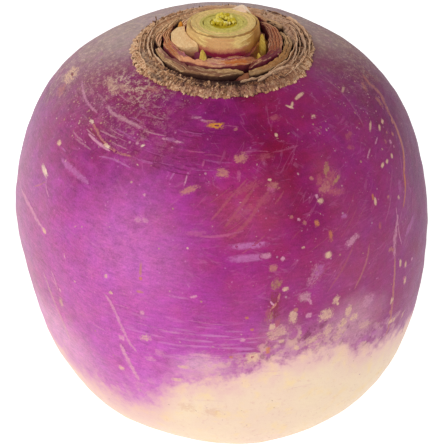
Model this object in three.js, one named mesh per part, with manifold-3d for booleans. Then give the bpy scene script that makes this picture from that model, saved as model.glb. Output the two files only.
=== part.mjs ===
// A purple-top turnip, trimmed for the kitchen: the swollen root with its corky crown collar, the cut
// stubs of its leaf stalks around the neck, and the small buds in their axils.
// Millimetres, +Z up. The origin is the middle of the face where the tap root was cut off.
// Azimuth 0 faces the front (-Y) and grows towards +X.
import * as THREE from "three";
import { mergeVertices } from "three/addons/utils/BufferGeometryUtils.js";
import Module from "manifold-3d";

// ---- Driving dimensions: the root ----
const bodyRadius = 45; // at the equator
const equatorHeight = 49;
const shoulder = { rise: 41.3, roundness: 3.23, fullness: 1.92 }; // equator up to the top
const belly = { rise: -47.2, roundness: 3.5, fullness: 2.27 }; // equator down to the tap root
const lean = -0.03; // sideways drift of the root's middle per millimetre of height
const crownDrift = 1.4; // how far the crown then sits towards +X of that leaning middle
const lobes = [
  { count: 2, depth: -0.012, turn: 90 },
  { count: 3, depth: 0.007, turn: 0 },
  { count: 5, depth: 0.003, turn: 40 },
];
const tapRoot = { cutRadius: 8.4, neckRadius: 9.4, length: 1.9 };
const rootSegments = 68;
const bellyRings = 12;
const shoulderRings = 11;

// ---- Driving dimensions: the crown, in heights above the rim of the corky collar ----
const collar = { rimRadius: 19.4, lipRadius: 18.6, innerRadius: 14.5, height: 1.2 };
const raggedness = [
  { count: 4, depth: 0.011, turn: 60 },
  { count: 7, depth: 0.009, turn: 10 },
  { count: 11, depth: 0.007, turn: 130 },
];
const ledge = { innerRadius: 8.55, height: 0.3 }; // carries the leaf bases
const core = { radius: 8.45, height: 2.4 }; // carries the neck
const lipBevel = 0.25;
const edgeSteps = 14; // along each edge of a leaf base

// ---- Frames ----
const radians = THREE.MathUtils.degToRad;
const rimShare = collar.rimRadius / bodyRadius;
const rimRise = shoulder.rise * (1 - rimShare ** shoulder.roundness) ** (1 / shoulder.fullness);
const rimHeight = equatorHeight + rimRise;
const crown = new THREE.Group();
crown.position.set(lean * rimHeight + crownDrift, 0, rimHeight);

// ---- Finishes ----
const finish = (color, roughness) => new THREE.MeshStandardMaterial({ color, roughness, metalness: 0 });
const skin = finish("#9a3379", 0.45);
const creamCut = finish("#d8c389", 0.6);
const greenCut = finish("#c6c070", 0.6);
const freshBud = finish("#bdb244", 0.55);
const ripeLeafBase = finish("#b9805a", 0.6);
const oldLeafBase = finish("#8f7a55", 0.75);
const dryLeafBase = finish("#a58a6c", 0.85);

// ---- Helpers ----
function piece(name, geometry, material) {
  const mesh = new THREE.Mesh(geometry, material);
  mesh.name = name;
  return mesh;
}

// A point of the crown's plan.
function inPlan(azimuth, radius) {
  return new THREE.Vector2(radius * Math.sin(radians(azimuth)), -radius * Math.cos(radians(azimuth)));
}

// Moves every vertex of a geometry by a function of its place.
function warp(geometry, move) {
  const places = geometry.getAttribute("position");
  const place = new THREE.Vector3();
  for (let i = 0; i < places.count; i++) {
    move(place.fromBufferAttribute(places, i));
    places.setXYZ(i, place.x, place.y, place.z);
  }
  geometry.computeVertexNormals();
  return geometry;
}

// ---- The root ----
// One quarter of the root's side, from the equator to where it has shrunk to endRadius: |r|^roundness and
// |z|^fullness add up to one, as on a superellipse.
function quarter({ rise, roundness, fullness }, endRadius, rings) {
  const turned = Math.acos((endRadius / bodyRadius) ** (roundness / 2));
  return Array.from({ length: rings + 1 }, (_, i) => {
    const t = (turned * i) / rings;
    const radius = bodyRadius * Math.cos(t) ** (2 / roundness);
    return new THREE.Vector2(radius, equatorHeight + rise * Math.sin(t) ** (2 / fullness));
  });
}

function rootProfile() {
  const onCrown = (radius, height) => new THREE.Vector2(radius, rimHeight + height);
  return [
    new THREE.Vector2(0, 0),
    new THREE.Vector2(tapRoot.cutRadius, 0),
    new THREE.Vector2(tapRoot.cutRadius + 0.3, tapRoot.length * 0.6),
    ...quarter(belly, tapRoot.neckRadius, bellyRings).reverse(),
    ...quarter(shoulder, collar.rimRadius, shoulderRings).slice(1),
    onCrown(collar.rimRadius - 0.1, 0.6),
    onCrown(collar.lipRadius, collar.height),
    onCrown(collar.innerRadius, collar.height),
    onCrown(collar.innerRadius - 0.1, ledge.height),
    onCrown(ledge.innerRadius, ledge.height),
    onCrown(core.radius, core.height),
    onCrown(0, core.height),
  ];
}

const waves = (terms, azimuth) =>
  terms.reduce((sum, { count, depth, turn }) => sum + depth * Math.cos(count * azimuth + radians(turn)), 0);

// Lobes swell the belly and shoulders and die out at the crown and the tap root, which stay round.
// The shoulders drift sideways to the crown. The outer edge of the corky collar is ragged.
function grow(place) {
  const azimuth = Math.atan2(place.x, -place.y);
  const level = (place.z - equatorHeight) / (rimHeight - equatorHeight);
  const swelling = Math.max(0, 1 - level ** 4);
  const onCollarEdge = place.z > rimHeight - 0.01 && Math.hypot(place.x, place.y) > collar.lipRadius - 0.1;
  const scale = 1 + swelling * waves(lobes, azimuth) + (onCollarEdge ? waves(raggedness, azimuth) : 0);
  const drift = crownDrift * Math.min(Math.max(level, 0), 1) ** 4;
  place.x = place.x * scale + lean * Math.min(place.z, rimHeight) + drift;
  place.y *= scale;
}

function turnipRoot() {
  const lathe = new THREE.LatheGeometry(rootProfile(), rootSegments);
  lathe.rotateX(Math.PI / 2);
  return piece("root", warp(lathe, grow), skin);
}

// ---- Leaf bases: crescents of cut leaf stalk that stand on the ledge around the core ----
function edgePoints(edge) {
  const curve = new THREE.SplineCurve(edge.map(([azimuth, radius]) => new THREE.Vector2(azimuth, radius)));
  return curve.getPoints(edgeSteps).map((point) => inPlan(point.x, point.y));
}

// The top falls outwards by `fall` for each millimetre away from the axis, as a knife held aslant leaves it.
function crescent({ name, outer, inner, foot, top, fall, material }) {
  const outline = new THREE.Shape([...edgePoints(outer), ...edgePoints(inner).reverse()]);
  const geometry = new THREE.ExtrudeGeometry(outline, {
    depth: top - foot - 2 * lipBevel,
    bevelThickness: lipBevel,
    bevelSize: lipBevel,
    bevelOffset: -lipBevel,
    bevelSegments: 1,
    curveSegments: 1,
  });
  geometry.translate(0, 0, foot + lipBevel);
  const innerRadius = inner[Math.floor(inner.length / 2)][1];
  const middle = (foot + top) / 2;
  warp(geometry, (place) => {
    const away = Math.hypot(place.x, place.y) - innerRadius;
    if (place.z > middle) place.z -= fall * Math.max(0, away);
  });
  return piece(name, geometry, material);
}

const leafBases = [
  {
    name: "cut_stalk_left",
    outer: [[-106, 9.8], [-90, 10.6], [-65, 10.8], [-42, 9.8]],
    inner: [[-104, 8.9], [-75, 8.8], [-44, 8.8]],
    top: 4.6,
    fall: 0.3,
    material: creamCut,
  },
  {
    name: "cut_stalk_back",
    outer: [[128, 9.7], [150, 10.5], [175, 10.6], [198, 9.8]],
    inner: [[130, 8.9], [160, 8.8], [196, 8.9]],
    top: 4.3,
    fall: 0.3,
    material: creamCut,
  },
  {
    name: "leaf_base_front",
    outer: [[-124, 12.5], [-90, 12.4], [-60, 12.3], [-30, 12.0], [5, 11.7], [42, 11.0]],
    inner: [
      ...[[-122, 11.75], [-90, 11.2], [-70, 11.1], [-44, 10.5]], // outside the cut stalk
      ...[[-28, 10.25], [-16, 9.6], [0, 9.0], [20, 9.0], [40, 9.5]], // round the front bud, then in to the core
    ],
    top: 3.4,
    fall: 0.3,
    material: ripeLeafBase,
  },
  {
    name: "leaf_base_right",
    outer: [[24, 12.5], [60, 12.6], [100, 12.1], [136, 11.2]],
    inner: [[26, 11.6], [52, 11.5], [64, 10.8], [78, 9.6], [95, 9.1], [108, 9.3], [120, 10.0], [134, 10.3]],
    top: 3.3,
    fall: 0.3,
    material: ripeLeafBase,
  },
  {
    name: "leaf_base_back",
    outer: [[130, 12.7], [165, 12.6], [205, 12.2], [238, 11.4]],
    inner: [[132, 11.6], [165, 11.0], [196, 10.4], [212, 9.3], [236, 9.5]],
    top: 3.3,
    fall: 0.3,
    material: ripeLeafBase,
  },
  {
    name: "old_leaf_base_front",
    outer: [[-78, 14.1], [-45, 14.2], [-10, 13.9], [20, 13.0]],
    inner: [[-76, 13.2], [-60, 12.7], [-30, 12.35], [0, 12.1], [18, 12.0]],
    top: 2.3,
    fall: 0.25,
    material: oldLeafBase,
  },
  {
    name: "old_leaf_base_right",
    outer: [[22, 14.2], [60, 14.2], [90, 14.0], [114, 13.2]],
    inner: [[22, 13.35], [40, 12.95], [75, 12.75], [100, 12.45], [112, 12.35]],
    top: 2.2,
    fall: 0.25,
    material: oldLeafBase,
  },
  {
    name: "old_leaf_base_back",
    outer: [[118, 14.2], [155, 14.2], [190, 14.0], [214, 13.2]],
    inner: [[119, 13.3], [135, 13.0], [165, 12.95], [195, 12.65], [212, 12.45]],
    top: 2.1,
    fall: 0.25,
    material: oldLeafBase,
  },
  {
    name: "old_leaf_base_left",
    outer: [[222, 14.2], [245, 14.2], [262, 14.1], [277, 13.5]],
    inner: [[222, 13.2], [236, 12.85], [262, 12.75], [275, 12.8]],
    top: 2.2,
    fall: 0.25,
    material: oldLeafBase,
  },
].map((base) => crescent({ foot: ledge.height, ...base }));

// Dry remains of the first leaves, thin upright scales that stand on the collar.
const dryScales = [
  { name: "dry_scale_right_inner", from: 62, to: 118, radius: 15.1, tip: 15.4, top: 2.2 },
  { name: "dry_scale_right_middle", from: 68, to: 126, radius: 16.3, tip: 16.5, top: 2.1 },
  { name: "dry_scale_right_outer", from: 76, to: 132, radius: 17.5, tip: 17.6, top: 1.9 },
  { name: "dry_scale_front", from: 24, to: 58, radius: 15.0, tip: 16.0, top: 1.9 },
  { name: "dry_scale_back", from: 148, to: 204, radius: 15.3, tip: 15.7, top: 2.0 },
  { name: "dry_scale_left", from: -118, to: -66, radius: 15.2, tip: 15.6, top: 2.0 },
].map(({ name, from, to, radius, tip, top }) => {
  const middle = (from + to) / 2;
  const thickness = 0.7;
  return crescent({
    name,
    outer: [[from, tip + thickness], [middle, radius + thickness], [to, tip + thickness]],
    inner: [[from + 1, tip], [middle, radius], [to - 1, tip]],
    foot: collar.height,
    top,
    fall: 0.2,
    material: dryLeafBase,
  });
});

// ---- The neck: leaf sheaths nested round the heart, cut across together ----
// A sheath is a ring, rounded to a triangle in plan, whose outside flares towards its foot. The torn one has
// a tongue that the knife left standing.
const tongue = { azimuth: 147, halfWidth: 15 };

function sheath({ name, innerRadius, outerRadius, flare = 1, top, tilt, torn = 0, material = creamCut }) {
  const segments = 36;
  const cornering = 0.035;
  const outlineAt = (radius) =>
    Array.from({ length: segments }, (_, i) => {
      const azimuth = (360 * i) / segments;
      return inPlan(azimuth, radius * (1 + cornering * Math.cos(radians(3 * azimuth - 30))));
    });
  const ring = new THREE.Shape(outlineAt(outerRadius));
  ring.holes.push(new THREE.Path(outlineAt(innerRadius)));
  const tall = top - core.height;
  const geometry = new THREE.ExtrudeGeometry(ring, { depth: tall, bevelEnabled: false });
  const middle = (innerRadius + outerRadius) / 2;
  warp(geometry, (place) => {
    const away = Math.hypot(place.x, place.y);
    const cut = place.z > tall / 2;
    const azimuth = (THREE.MathUtils.radToDeg(Math.atan2(place.x, -place.y)) + 360) % 360;
    if (!cut && away > middle) place.multiply(new THREE.Vector3(flare, flare, 1));
    const tongueHeight = torn * Math.exp(-(((azimuth - tongue.azimuth) / tongue.halfWidth) ** 2));
    if (cut) place.z += tongueHeight - tilt * place.y;
    place.z += core.height;
  });
  return piece(name, geometry, material);
}

const neck = [
  { name: "sheath_outer", innerRadius: 6.95, outerRadius: 7.5, flare: 1.08, top: 6.2, tilt: 0.05, torn: 1.3 },
  { name: "sheath_middle", innerRadius: 4.3, outerRadius: 6.65, top: 6.5, tilt: 0.06 },
  { name: "sheath_inner", innerRadius: 3.0, outerRadius: 4.0, top: 6.4, tilt: 0.06, material: greenCut },
].map(sheath);

// ---- Buds ----
const wasm = await Module();
wasm.setup();

// A closed three.js geometry as a manifold-3d solid, and back.
function toSolid(geometry) {
  geometry.deleteAttribute("normal");
  geometry.deleteAttribute("uv");
  const merged = mergeVertices(geometry, 1e-4);
  const vertProperties = new Float32Array(merged.getAttribute("position").array);
  const triVerts = new Uint32Array(merged.index.array);
  return new wasm.Manifold(new wasm.Mesh({ numProp: 3, vertProperties, triVerts }));
}

function toGeometry(solid) {
  const { vertProperties, triVerts } = solid.getMesh();
  const geometry = new THREE.BufferGeometry();
  geometry.setAttribute("position", new THREE.BufferAttribute(vertProperties, 3));
  geometry.setIndex(new THREE.BufferAttribute(triVerts, 1));
  geometry.computeVertexNormals();
  return geometry;
}

// The heart: the growing point in the middle of the neck, a domed core with the stubs of its youngest leaves.
function heart() {
  const radius = 2.65;
  const bowl = [[0, core.height], [radius, core.height], [radius, 5.9], [radius - 0.5, 6.1], [0, 5.8]];
  const lathe = new THREE.LatheGeometry(bowl.map(([r, z]) => new THREE.Vector2(r, z)), 24);
  let solid = toSolid(lathe.rotateX(Math.PI / 2));
  const floretHeight = 6.3;
  const florets = [
    { azimuth: 200, away: 1.3, size: 0.75 },
    { azimuth: 160, away: 1.4, size: 0.7 },
    { azimuth: 120, away: 1.5, size: 0.65 },
    { azimuth: 240, away: 1.4, size: 0.6 },
    { azimuth: 180, away: 0.4, size: 0.6 },
  ];
  for (const { azimuth, away, size } of florets) {
    const place = inPlan(azimuth, away);
    const ball = new THREE.IcosahedronGeometry(size, 1).scale(1, 1, 1.2).translate(place.x, place.y, floretHeight);
    solid = solid.add(toSolid(ball));
  }
  return piece("heart_bud", toGeometry(solid), freshBud);
}

// A side bud: a small pointed shoot in the axil of a leaf base, standing on the ledge.
function sideBud({ name, azimuth, away, width, tall, rest = ledge.height }) {
  const profile = [[0, 0], [0.5, 0], [0.55, 0.35], [0.5, 0.7], [0.3, 0.93], [0, 1]];
  const lathe = new THREE.LatheGeometry(profile.map(([r, z]) => new THREE.Vector2(r * width, z * tall)), 10);
  const place = inPlan(azimuth, away);
  lathe.rotateX(Math.PI / 2).translate(place.x, place.y, rest);
  return piece(name, lathe, freshBud);
}

const sideBuds = [
  { name: "side_bud_front", azimuth: -25, away: 9.3, width: 1.2, tall: 4.3 },
  { name: "side_bud_right", azimuth: 45, away: 10.4, width: 1.2, tall: 2.9 },
  { name: "side_bud_neck", azimuth: 62, away: 9.35, width: 1.3, tall: 5.9 },
  { name: "side_bud_left", azimuth: -112, away: 9.6, width: 1.3, tall: 4.4 },
].map(sideBud);

crown.add(...leafBases, ...dryScales, ...neck, heart(), ...sideBuds);
const turnip = new THREE.Group();
turnip.name = "turnip";
turnip.add(turnipRoot(), crown);
export default turnip;
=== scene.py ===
"""A purple-top turnip with its leaves trimmed off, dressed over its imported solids.

The root is purple where it stood in the light and cream where it sat in the soil. A corky collar rings the
crown, inside it lie the cut bases of old leaves, and in the middle stands the cut neck with its green heart.
Lengths in the classes are millimetres, azimuths are degrees from the front (-Y) towards +X, and meshes are
written in metres.
"""

from __future__ import annotations

import logging
import math
from dataclasses import dataclass, field, replace
from enum import Enum
from typing import Iterable, Sequence

import bpy
import numpy as np
from mathutils import Matrix, Vector


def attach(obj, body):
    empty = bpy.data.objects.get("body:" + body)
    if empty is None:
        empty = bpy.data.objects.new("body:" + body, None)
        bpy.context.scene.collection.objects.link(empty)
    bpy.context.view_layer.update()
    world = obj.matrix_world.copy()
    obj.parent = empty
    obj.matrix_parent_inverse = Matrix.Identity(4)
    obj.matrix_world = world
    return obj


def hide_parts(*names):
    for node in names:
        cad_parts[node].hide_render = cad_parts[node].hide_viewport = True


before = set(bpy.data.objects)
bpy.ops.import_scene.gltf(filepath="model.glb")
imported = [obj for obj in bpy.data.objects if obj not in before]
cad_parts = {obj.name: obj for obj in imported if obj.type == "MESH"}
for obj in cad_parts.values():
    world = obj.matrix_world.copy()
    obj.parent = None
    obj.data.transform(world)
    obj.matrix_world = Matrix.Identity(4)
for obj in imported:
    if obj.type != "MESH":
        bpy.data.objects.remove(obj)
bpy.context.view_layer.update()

MM = 0.001
SEED = 11
SHEEN = 0.12
DRY_SHEEN = 0.2
DEGREE_ON_SKIN = 0.72
SKIN_GRAIN = (0.00035, 0.6)
log = logging.getLogger("turnip")

Socket = bpy.types.NodeSocket
Sockets = Sequence[Socket]
Node = bpy.types.Node
Tree = bpy.types.NodeTree
Obj = bpy.types.Object
Material = bpy.types.Material
Array = np.ndarray
Value = "float | Socket"
Numbers = "dict[str, Array] | None"
Solid = "tuple[Array, list, dict[str, Array]]"
Knots = "tuple[tuple[float, float], ...]"
Tones = "tuple[tuple[float, str], ...]"
Fives = "tuple[tuple[float, float, float, float, float], ...]"


# ---- Numbers and noise ----


def tint(code: str) -> tuple[float, float, float, float]:
    """Turns a display colour into the linear colour that a shader takes.

    Args:
        code: six hexadecimal digits after a hash sign.

    Returns:
        Red, green, blue and an alpha of one.
    """
    parts = [int(code[i : i + 2], 16) / 255 for i in (1, 3, 5)]
    linear = [c / 12.92 if c <= 0.04045 else ((c + 0.055) / 1.055) ** 2.4 for c in parts]
    return (linear[0], linear[1], linear[2], 1.0)


def all_round(count: int) -> Array:
    """Gives azimuths at even steps all the way round."""
    return np.arange(count) * 360 / count


def smooth(low: float, high: float, value: Array) -> Array:
    """Rises smoothly from 0 at low to 1 at high."""
    t = np.clip((value - low) / (high - low), 0, 1)
    return t * t * (3 - 2 * t)


@dataclass(frozen=True)
class Ripple:
    """A smooth, seeded, repeatable unevenness in space: a sum of cosine waves in random directions."""

    wavelength: float
    seed: int
    waves: int = 22
    stretch: tuple[float, float, float] = (1.0, 1.0, 1.0)

    def at(self, points: Array) -> Array:
        """Gives the unevenness at some points.

        Args:
            points: an array whose last axis is x, y, z in millimetres.

        Returns:
            Values of about -1 to 1, of the same shape without the last axis.
        """
        rng = np.random.default_rng(SEED * 1000 + self.seed)
        directions = rng.normal(size=(self.waves, 3))
        directions /= np.linalg.norm(directions, axis=1)[:, None]
        numbers = 2 * math.pi / (self.wavelength * rng.uniform(0.6, 1.7, self.waves))
        phases = rng.uniform(0, 2 * math.pi, self.waves)
        vectors = directions * numbers[:, None] / np.array(self.stretch)
        total = np.cos(points @ vectors.T + phases).sum(-1)
        return total / math.sqrt(self.waves) / 1.2


def spline(knots: Sequence[Sequence[float]], count: int) -> Array:
    """Runs a smooth curve through points, evenly by the first coordinate's share of knots.

    Args:
        knots: at least two points of the same number of coordinates.
        count: how many points are wanted on the curve.

    Returns:
        An array of count points.
    """
    p = np.array(knots, float)
    p = np.vstack([2 * p[0] - p[1], p, 2 * p[-1] - p[-2]])
    t = np.linspace(0, len(knots) - 1, count)
    i = np.minimum(t.astype(int), len(knots) - 2)
    f = (t - i)[:, None]
    a, b, c, d = p[i], p[i + 1], p[i + 2], p[i + 3]
    return 0.5 * (2 * b + (c - a) * f + (2 * a - 5 * b + 4 * c - d) * f**2 + (3 * b - a - 3 * c + d) * f**3)


# ---- Meshes ----


def make_object(name: str, points: Array, faces: Iterable[Sequence[int]], attributes: Numbers = None) -> Obj:
    """Makes a smooth mesh object at the origin.

    Args:
        name: the object's name.
        points: vertices in millimetres.
        faces: vertex numbers of each face.
        attributes: per-vertex numbers, or per-vertex vectors.

    Returns:
        The new object, linked to the scene.
    """
    mesh = bpy.data.meshes.new(name)
    mesh.from_pydata((points * MM).tolist(), [], [list(f) for f in faces])
    for key, values in (attributes or {}).items():
        kind, member = ("FLOAT", "value") if values.ndim == 1 else ("FLOAT_VECTOR", "vector")
        layer = mesh.attributes.new(key, kind, "POINT")
        layer.data.foreach_set(member, values.astype(np.float32).ravel())
    mesh.polygons.foreach_set("use_smooth", np.ones(len(mesh.polygons), bool))
    mesh.update()
    obj = bpy.data.objects.new(name, mesh)
    bpy.context.scene.collection.objects.link(obj)
    return obj


def signed_volume(points: Array, quads: Array) -> float:
    """Gives six times the volume that quads enclose, negative where they face inwards."""
    a, b, c, d = (points[quads[:, k]] for k in range(4))
    return float((np.cross(a, b) * c).sum() + (np.cross(a, c) * d).sum())


def skin_rings(rings: Array, attributes: Numbers = None) -> Solid:
    """Skins closed loops of points one after another and closes both ends.

    Args:
        rings: an array of loops by points by x, y, z, in millimetres.
        attributes: numbers or vectors for each point of the rings.

    Returns:
        The points, the outward faces and the attributes of a closed solid.
    """
    rows, cols, _ = rings.shape
    points = rings.reshape(-1, 3)
    ends = np.array([rings[0].mean(0), rings[-1].mean(0)])
    i = np.arange(rows - 1)[:, None] * cols
    j = np.arange(cols)[None, :]
    k = (j + 1) % cols
    quads = np.stack([i + j, i + k, i + cols + k, i + cols + j], -1).reshape(-1, 4)
    first, last, top = rows * cols, rows * cols + 1, (rows - 1) * cols
    caps = [(first, (c + 1) % cols, c) for c in range(cols)]
    caps += [(last, top + c, top + (c + 1) % cols) for c in range(cols)]
    everything = np.vstack([points, ends])
    closing = np.array([(a, b, c, c) for a, b, c in caps])
    inward = signed_volume(everything, np.vstack([quads, closing])) < 0
    faces = [f[::-1] for f in quads.tolist() + caps] if inward else quads.tolist() + caps
    full = {}
    for key, values in (attributes or {}).items():
        flat = values.reshape(rows * cols, *values.shape[2:])
        full[key] = np.concatenate([flat, values[0].mean(0)[None], values[-1].mean(0)[None]])
    return everything, faces, full


def solid_of_rings(name: str, rings: Array, attributes: Attributes = None) -> Obj:
    """Makes an object of one solid skinned over closed loops."""
    return make_object(name, *skin_rings(rings, attributes))


def joined(name: str, solids: Sequence[Solid]) -> Obj:
    """Makes one object of several solids that carry the same attributes.

    Args:
        name: the new object's name.
        solids: each one's points, faces and attributes.

    Returns:
        The new object.
    """
    faces, start = [], 0
    for points, quads, _ in solids:
        faces += [[start + v for v in f] for f in quads]
        start += len(points)
    merged = {key: np.concatenate([s[2][key] for s in solids]) for key in solids[0][2]}
    return make_object(name, np.concatenate([s[0] for s in solids]), faces, merged)


def plain_mesh(obj: Obj) -> Obj:
    """Replaces an object's live modifiers by the mesh they give.

    Args:
        obj: an object with modifiers.

    Returns:
        The same object with a plain mesh and no modifier.
    """
    bpy.context.view_layer.update()
    graph = bpy.context.evaluated_depsgraph_get()
    grown = obj.evaluated_get(graph)
    mesh = bpy.data.meshes.new_from_object(grown, preserve_all_data_layers=True, depsgraph=graph)
    obj.modifiers.clear()
    old = obj.data
    obj.data = mesh
    bpy.data.meshes.remove(old)
    mesh.polygons.foreach_set("use_smooth", np.ones(len(mesh.polygons), bool))
    return obj


def settle(obj: Obj, material: Material, stands_for: Sequence[str] = ()) -> Obj:
    """Gives a finished piece its material, its body and the solids it stands for.

    Args:
        obj: the finished piece.
        material: its material.
        stands_for: the CAD nodes it replaces.

    Returns:
        The same object.
    """
    obj.data.materials.clear()
    obj.data.materials.append(material)
    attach(obj, "root")
    if stands_for:
        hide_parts(*stands_for)
    log.info("%s: %d faces", obj.name, len(obj.data.polygons))
    return obj


# ---- Node graphs ----


class Graph:
    """A short way to write node trees: most methods add one node and return its output socket."""

    def __init__(self, tree: Tree) -> None:
        """Wraps a node tree."""
        self.tree = tree

    def node(self, kind: str, settings: dict[str, object] | None = None, **inputs: object) -> Node:
        """Adds a node.

        Args:
            kind: the node's type name.
            settings: the node's own properties.
            **inputs: values or sockets for its inputs, by name with _ for a space, or as iN by number.

        Returns:
            The node.
        """
        made = self.tree.nodes.new(kind)
        for key, value in (settings or {}).items():
            setattr(made, key, value)
        for key, value in inputs.items():
            numbered = key[0] == "i" and key[1:].isdigit()
            self.feed(made.inputs[int(key[1:]) if numbered else key.replace("_", " ")], value)
        return made

    def feed(self, socket: Socket, value: object) -> None:
        """Links a socket to an input, or sets its value.

        Args:
            socket: the input.
            value: a socket, a plain value, or None to leave it as it is.
        """
        if isinstance(value, bpy.types.NodeSocket):
            self.tree.links.new(value, socket)
        elif value is not None:
            socket.default_value = value

    def math(self, operation: str, a: Value, b: Value = 0.0, c: Value = 0.0, clamp: bool = False) -> Socket:
        """Adds a Math node."""
        kind = {"operation": operation, "use_clamp": clamp}
        return self.node("ShaderNodeMath", kind, i0=a, i1=b, i2=c).outputs[0]

    def add(self, a: Value, b: Value) -> Socket:
        """Adds two numbers."""
        return self.math("ADD", a, b)

    def sub(self, a: Value, b: Value) -> Socket:
        """Subtracts b from a."""
        return self.math("SUBTRACT", a, b)

    def mul(self, a: Value, b: Value, clamp: bool = False) -> Socket:
        """Multiplies two numbers."""
        return self.math("MULTIPLY", a, b, clamp=clamp)

    def uneven(self, noise: Socket, amount: float) -> Socket:
        """Centres a noise on zero and scales it."""
        return self.mul(self.sub(noise, 0.5), amount)

    def ramp(self, value: Value, low: Value, high: Value) -> Socket:
        """Maps a range smoothly onto 0 to 1."""
        kind = {"interpolation_type": "SMOOTHSTEP"}
        return self.node("ShaderNodeMapRange", kind, Value=value, From_Min=low, From_Max=high).outputs[0]

    def vector(self, operation: str, a: object, b: object = None, c: object = None, **more: object) -> Socket:
        """Adds a Vector Math node."""
        kind = {"operation": operation}
        return self.node("ShaderNodeVectorMath", kind, i0=a, i1=b, i2=c, **more).outputs[0]

    def split(self, vector: Socket) -> Sockets:
        """Splits a vector into X, Y and Z."""
        return self.node("ShaderNodeSeparateXYZ", None, Vector=vector).outputs

    def combine(self, x: Value, y: Value, z: Value = 0.0) -> Socket:
        """Makes a vector of X, Y and Z."""
        return self.node("ShaderNodeCombineXYZ", None, X=x, Y=y, Z=z).outputs[0]

    def mix(self, share: Value, a: object, b: object, blend: str = "MIX") -> Socket:
        """Mixes two colours."""
        kind = {"data_type": "RGBA", "blend_type": blend, "clamp_factor": True}
        return self.node("ShaderNodeMix", kind, Factor=share, i6=a, i7=b).outputs[2]

    def shade(self, colour: Socket, value: Socket, hue: Value = 0.5) -> Socket:
        """Makes a colour lighter or darker and turns its hue."""
        return self.node("ShaderNodeHueSaturation", None, Color=colour, Value=value, Hue=hue).outputs[0]

    def noise(self, where: Socket, scale: float, detail: float = 2.0, roughness: float = 0.5) -> Socket:
        """Adds a Noise texture."""
        kind = "ShaderNodeTexNoise"
        return self.node(kind, None, Vector=where, Scale=scale, Detail=detail, Roughness=roughness).outputs[0]

    def curve(self, value: Socket, knots: Sequence[tuple[float, float]]) -> Socket:
        """Adds a Float Curve through (place, value) knots of 0 to 1 each.

        Args:
            value: where to read the curve.
            knots: the curve's points.

        Returns:
            The curve's value there.
        """
        made = self.node("ShaderNodeFloatCurve", None, Value=value)
        line = made.mapping.curves[0]
        for _ in range(len(knots) - 2):
            line.points.new(0.5, 0.5)
        for point, (x, y) in zip(line.points, knots):
            point.location = (x, y)
            point.handle_type = "AUTO"
        made.mapping.update()
        return made.outputs[0]

    def stops(self, value: Socket, colours: Sequence[tuple[float, str]]) -> Socket:
        """Adds a Color Ramp with the given places and colours.

        Args:
            value: where to read the ramp.
            colours: places and colour codes.

        Returns:
            The colour there.
        """
        made = self.node("ShaderNodeValToRGB", None, Fac=value)
        band = made.color_ramp
        for _ in range(len(colours) - 2):
            band.elements.new(0.5)
        for element, (place, code) in zip(band.elements, colours):
            element.position = place
            element.color = tint(code)
        return made.outputs[0]

    def group(self, tree: Tree, **inputs: object) -> Sockets:
        """Places a node group, with values for its named inputs, and returns its outputs."""
        kind = "ShaderNodeGroup" if self.tree.bl_idname == "ShaderNodeTree" else "GeometryNodeGroup"
        return self.node(kind, {"node_tree": tree}, **inputs).outputs

    def attribute(self, name: str, output: str = "Fac") -> Socket:
        """Reads a vertex attribute."""
        kind = {"attribute_name": name, "attribute_type": "GEOMETRY"}
        return self.node("ShaderNodeAttribute", kind).outputs[output]

    def bump(self, height: Socket, distance: float, strength: float) -> Socket:
        """Adds a Bump node."""
        inputs = {"Height": height, "Distance": distance, "Strength": strength}
        return self.node("ShaderNodeBump", None, **inputs).outputs[0]


def new_group(name: str, kind: str, inputs: dict[str, object], outputs: dict[str, str]) -> tuple:
    """Starts a node group with named sockets.

    Args:
        name: the group's name.
        kind: "Shader" or "Geometry".
        inputs: the default of each input, or the socket type of one without a default.
        outputs: the socket type of each output.

    Returns:
        The tree, its graph, the sockets of its input node and the inputs of its output node.
    """
    tree = bpy.data.node_groups.new(name, kind + "NodeTree")
    for label, given in inputs.items():
        socket_type = given if isinstance(given, str) else type(given).__name__.title()
        socket = tree.interface.new_socket(name=label, in_out="INPUT", socket_type="NodeSocket" + socket_type)
        if not isinstance(given, str):
            socket.default_value = given
    for label, socket_type in outputs.items():
        tree.interface.new_socket(name=label, in_out="OUTPUT", socket_type="NodeSocket" + socket_type)
    start, end = tree.nodes.new("NodeGroupInput"), tree.nodes.new("NodeGroupOutput")
    return tree, Graph(tree), start.outputs, end.inputs


def new_material(name: str, specular: float, roughness: float = 0.5) -> tuple[Material, Graph, Sockets]:
    """Starts a material with a Principled BSDF.

    Args:
        name: the material's name.
        specular: its specular level.
        roughness: its roughness, where that is the same all over.

    Returns:
        The material, its graph and the inputs of its Principled node.
    """
    material = bpy.data.materials.new(name)
    material.use_nodes = True
    inputs = material.node_tree.nodes["Principled BSDF"].inputs
    inputs["Specular IOR Level"].default_value = specular
    inputs["Roughness"].default_value = roughness
    return material, Graph(material.node_tree), inputs


# ---- The form of the root, as its solid has it ----


@dataclass(frozen=True)
class Quarter:
    """The side of the root from its equator up or down: rise and the two powers of a superellipse."""

    rise: float
    roundness: float
    fullness: float


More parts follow.
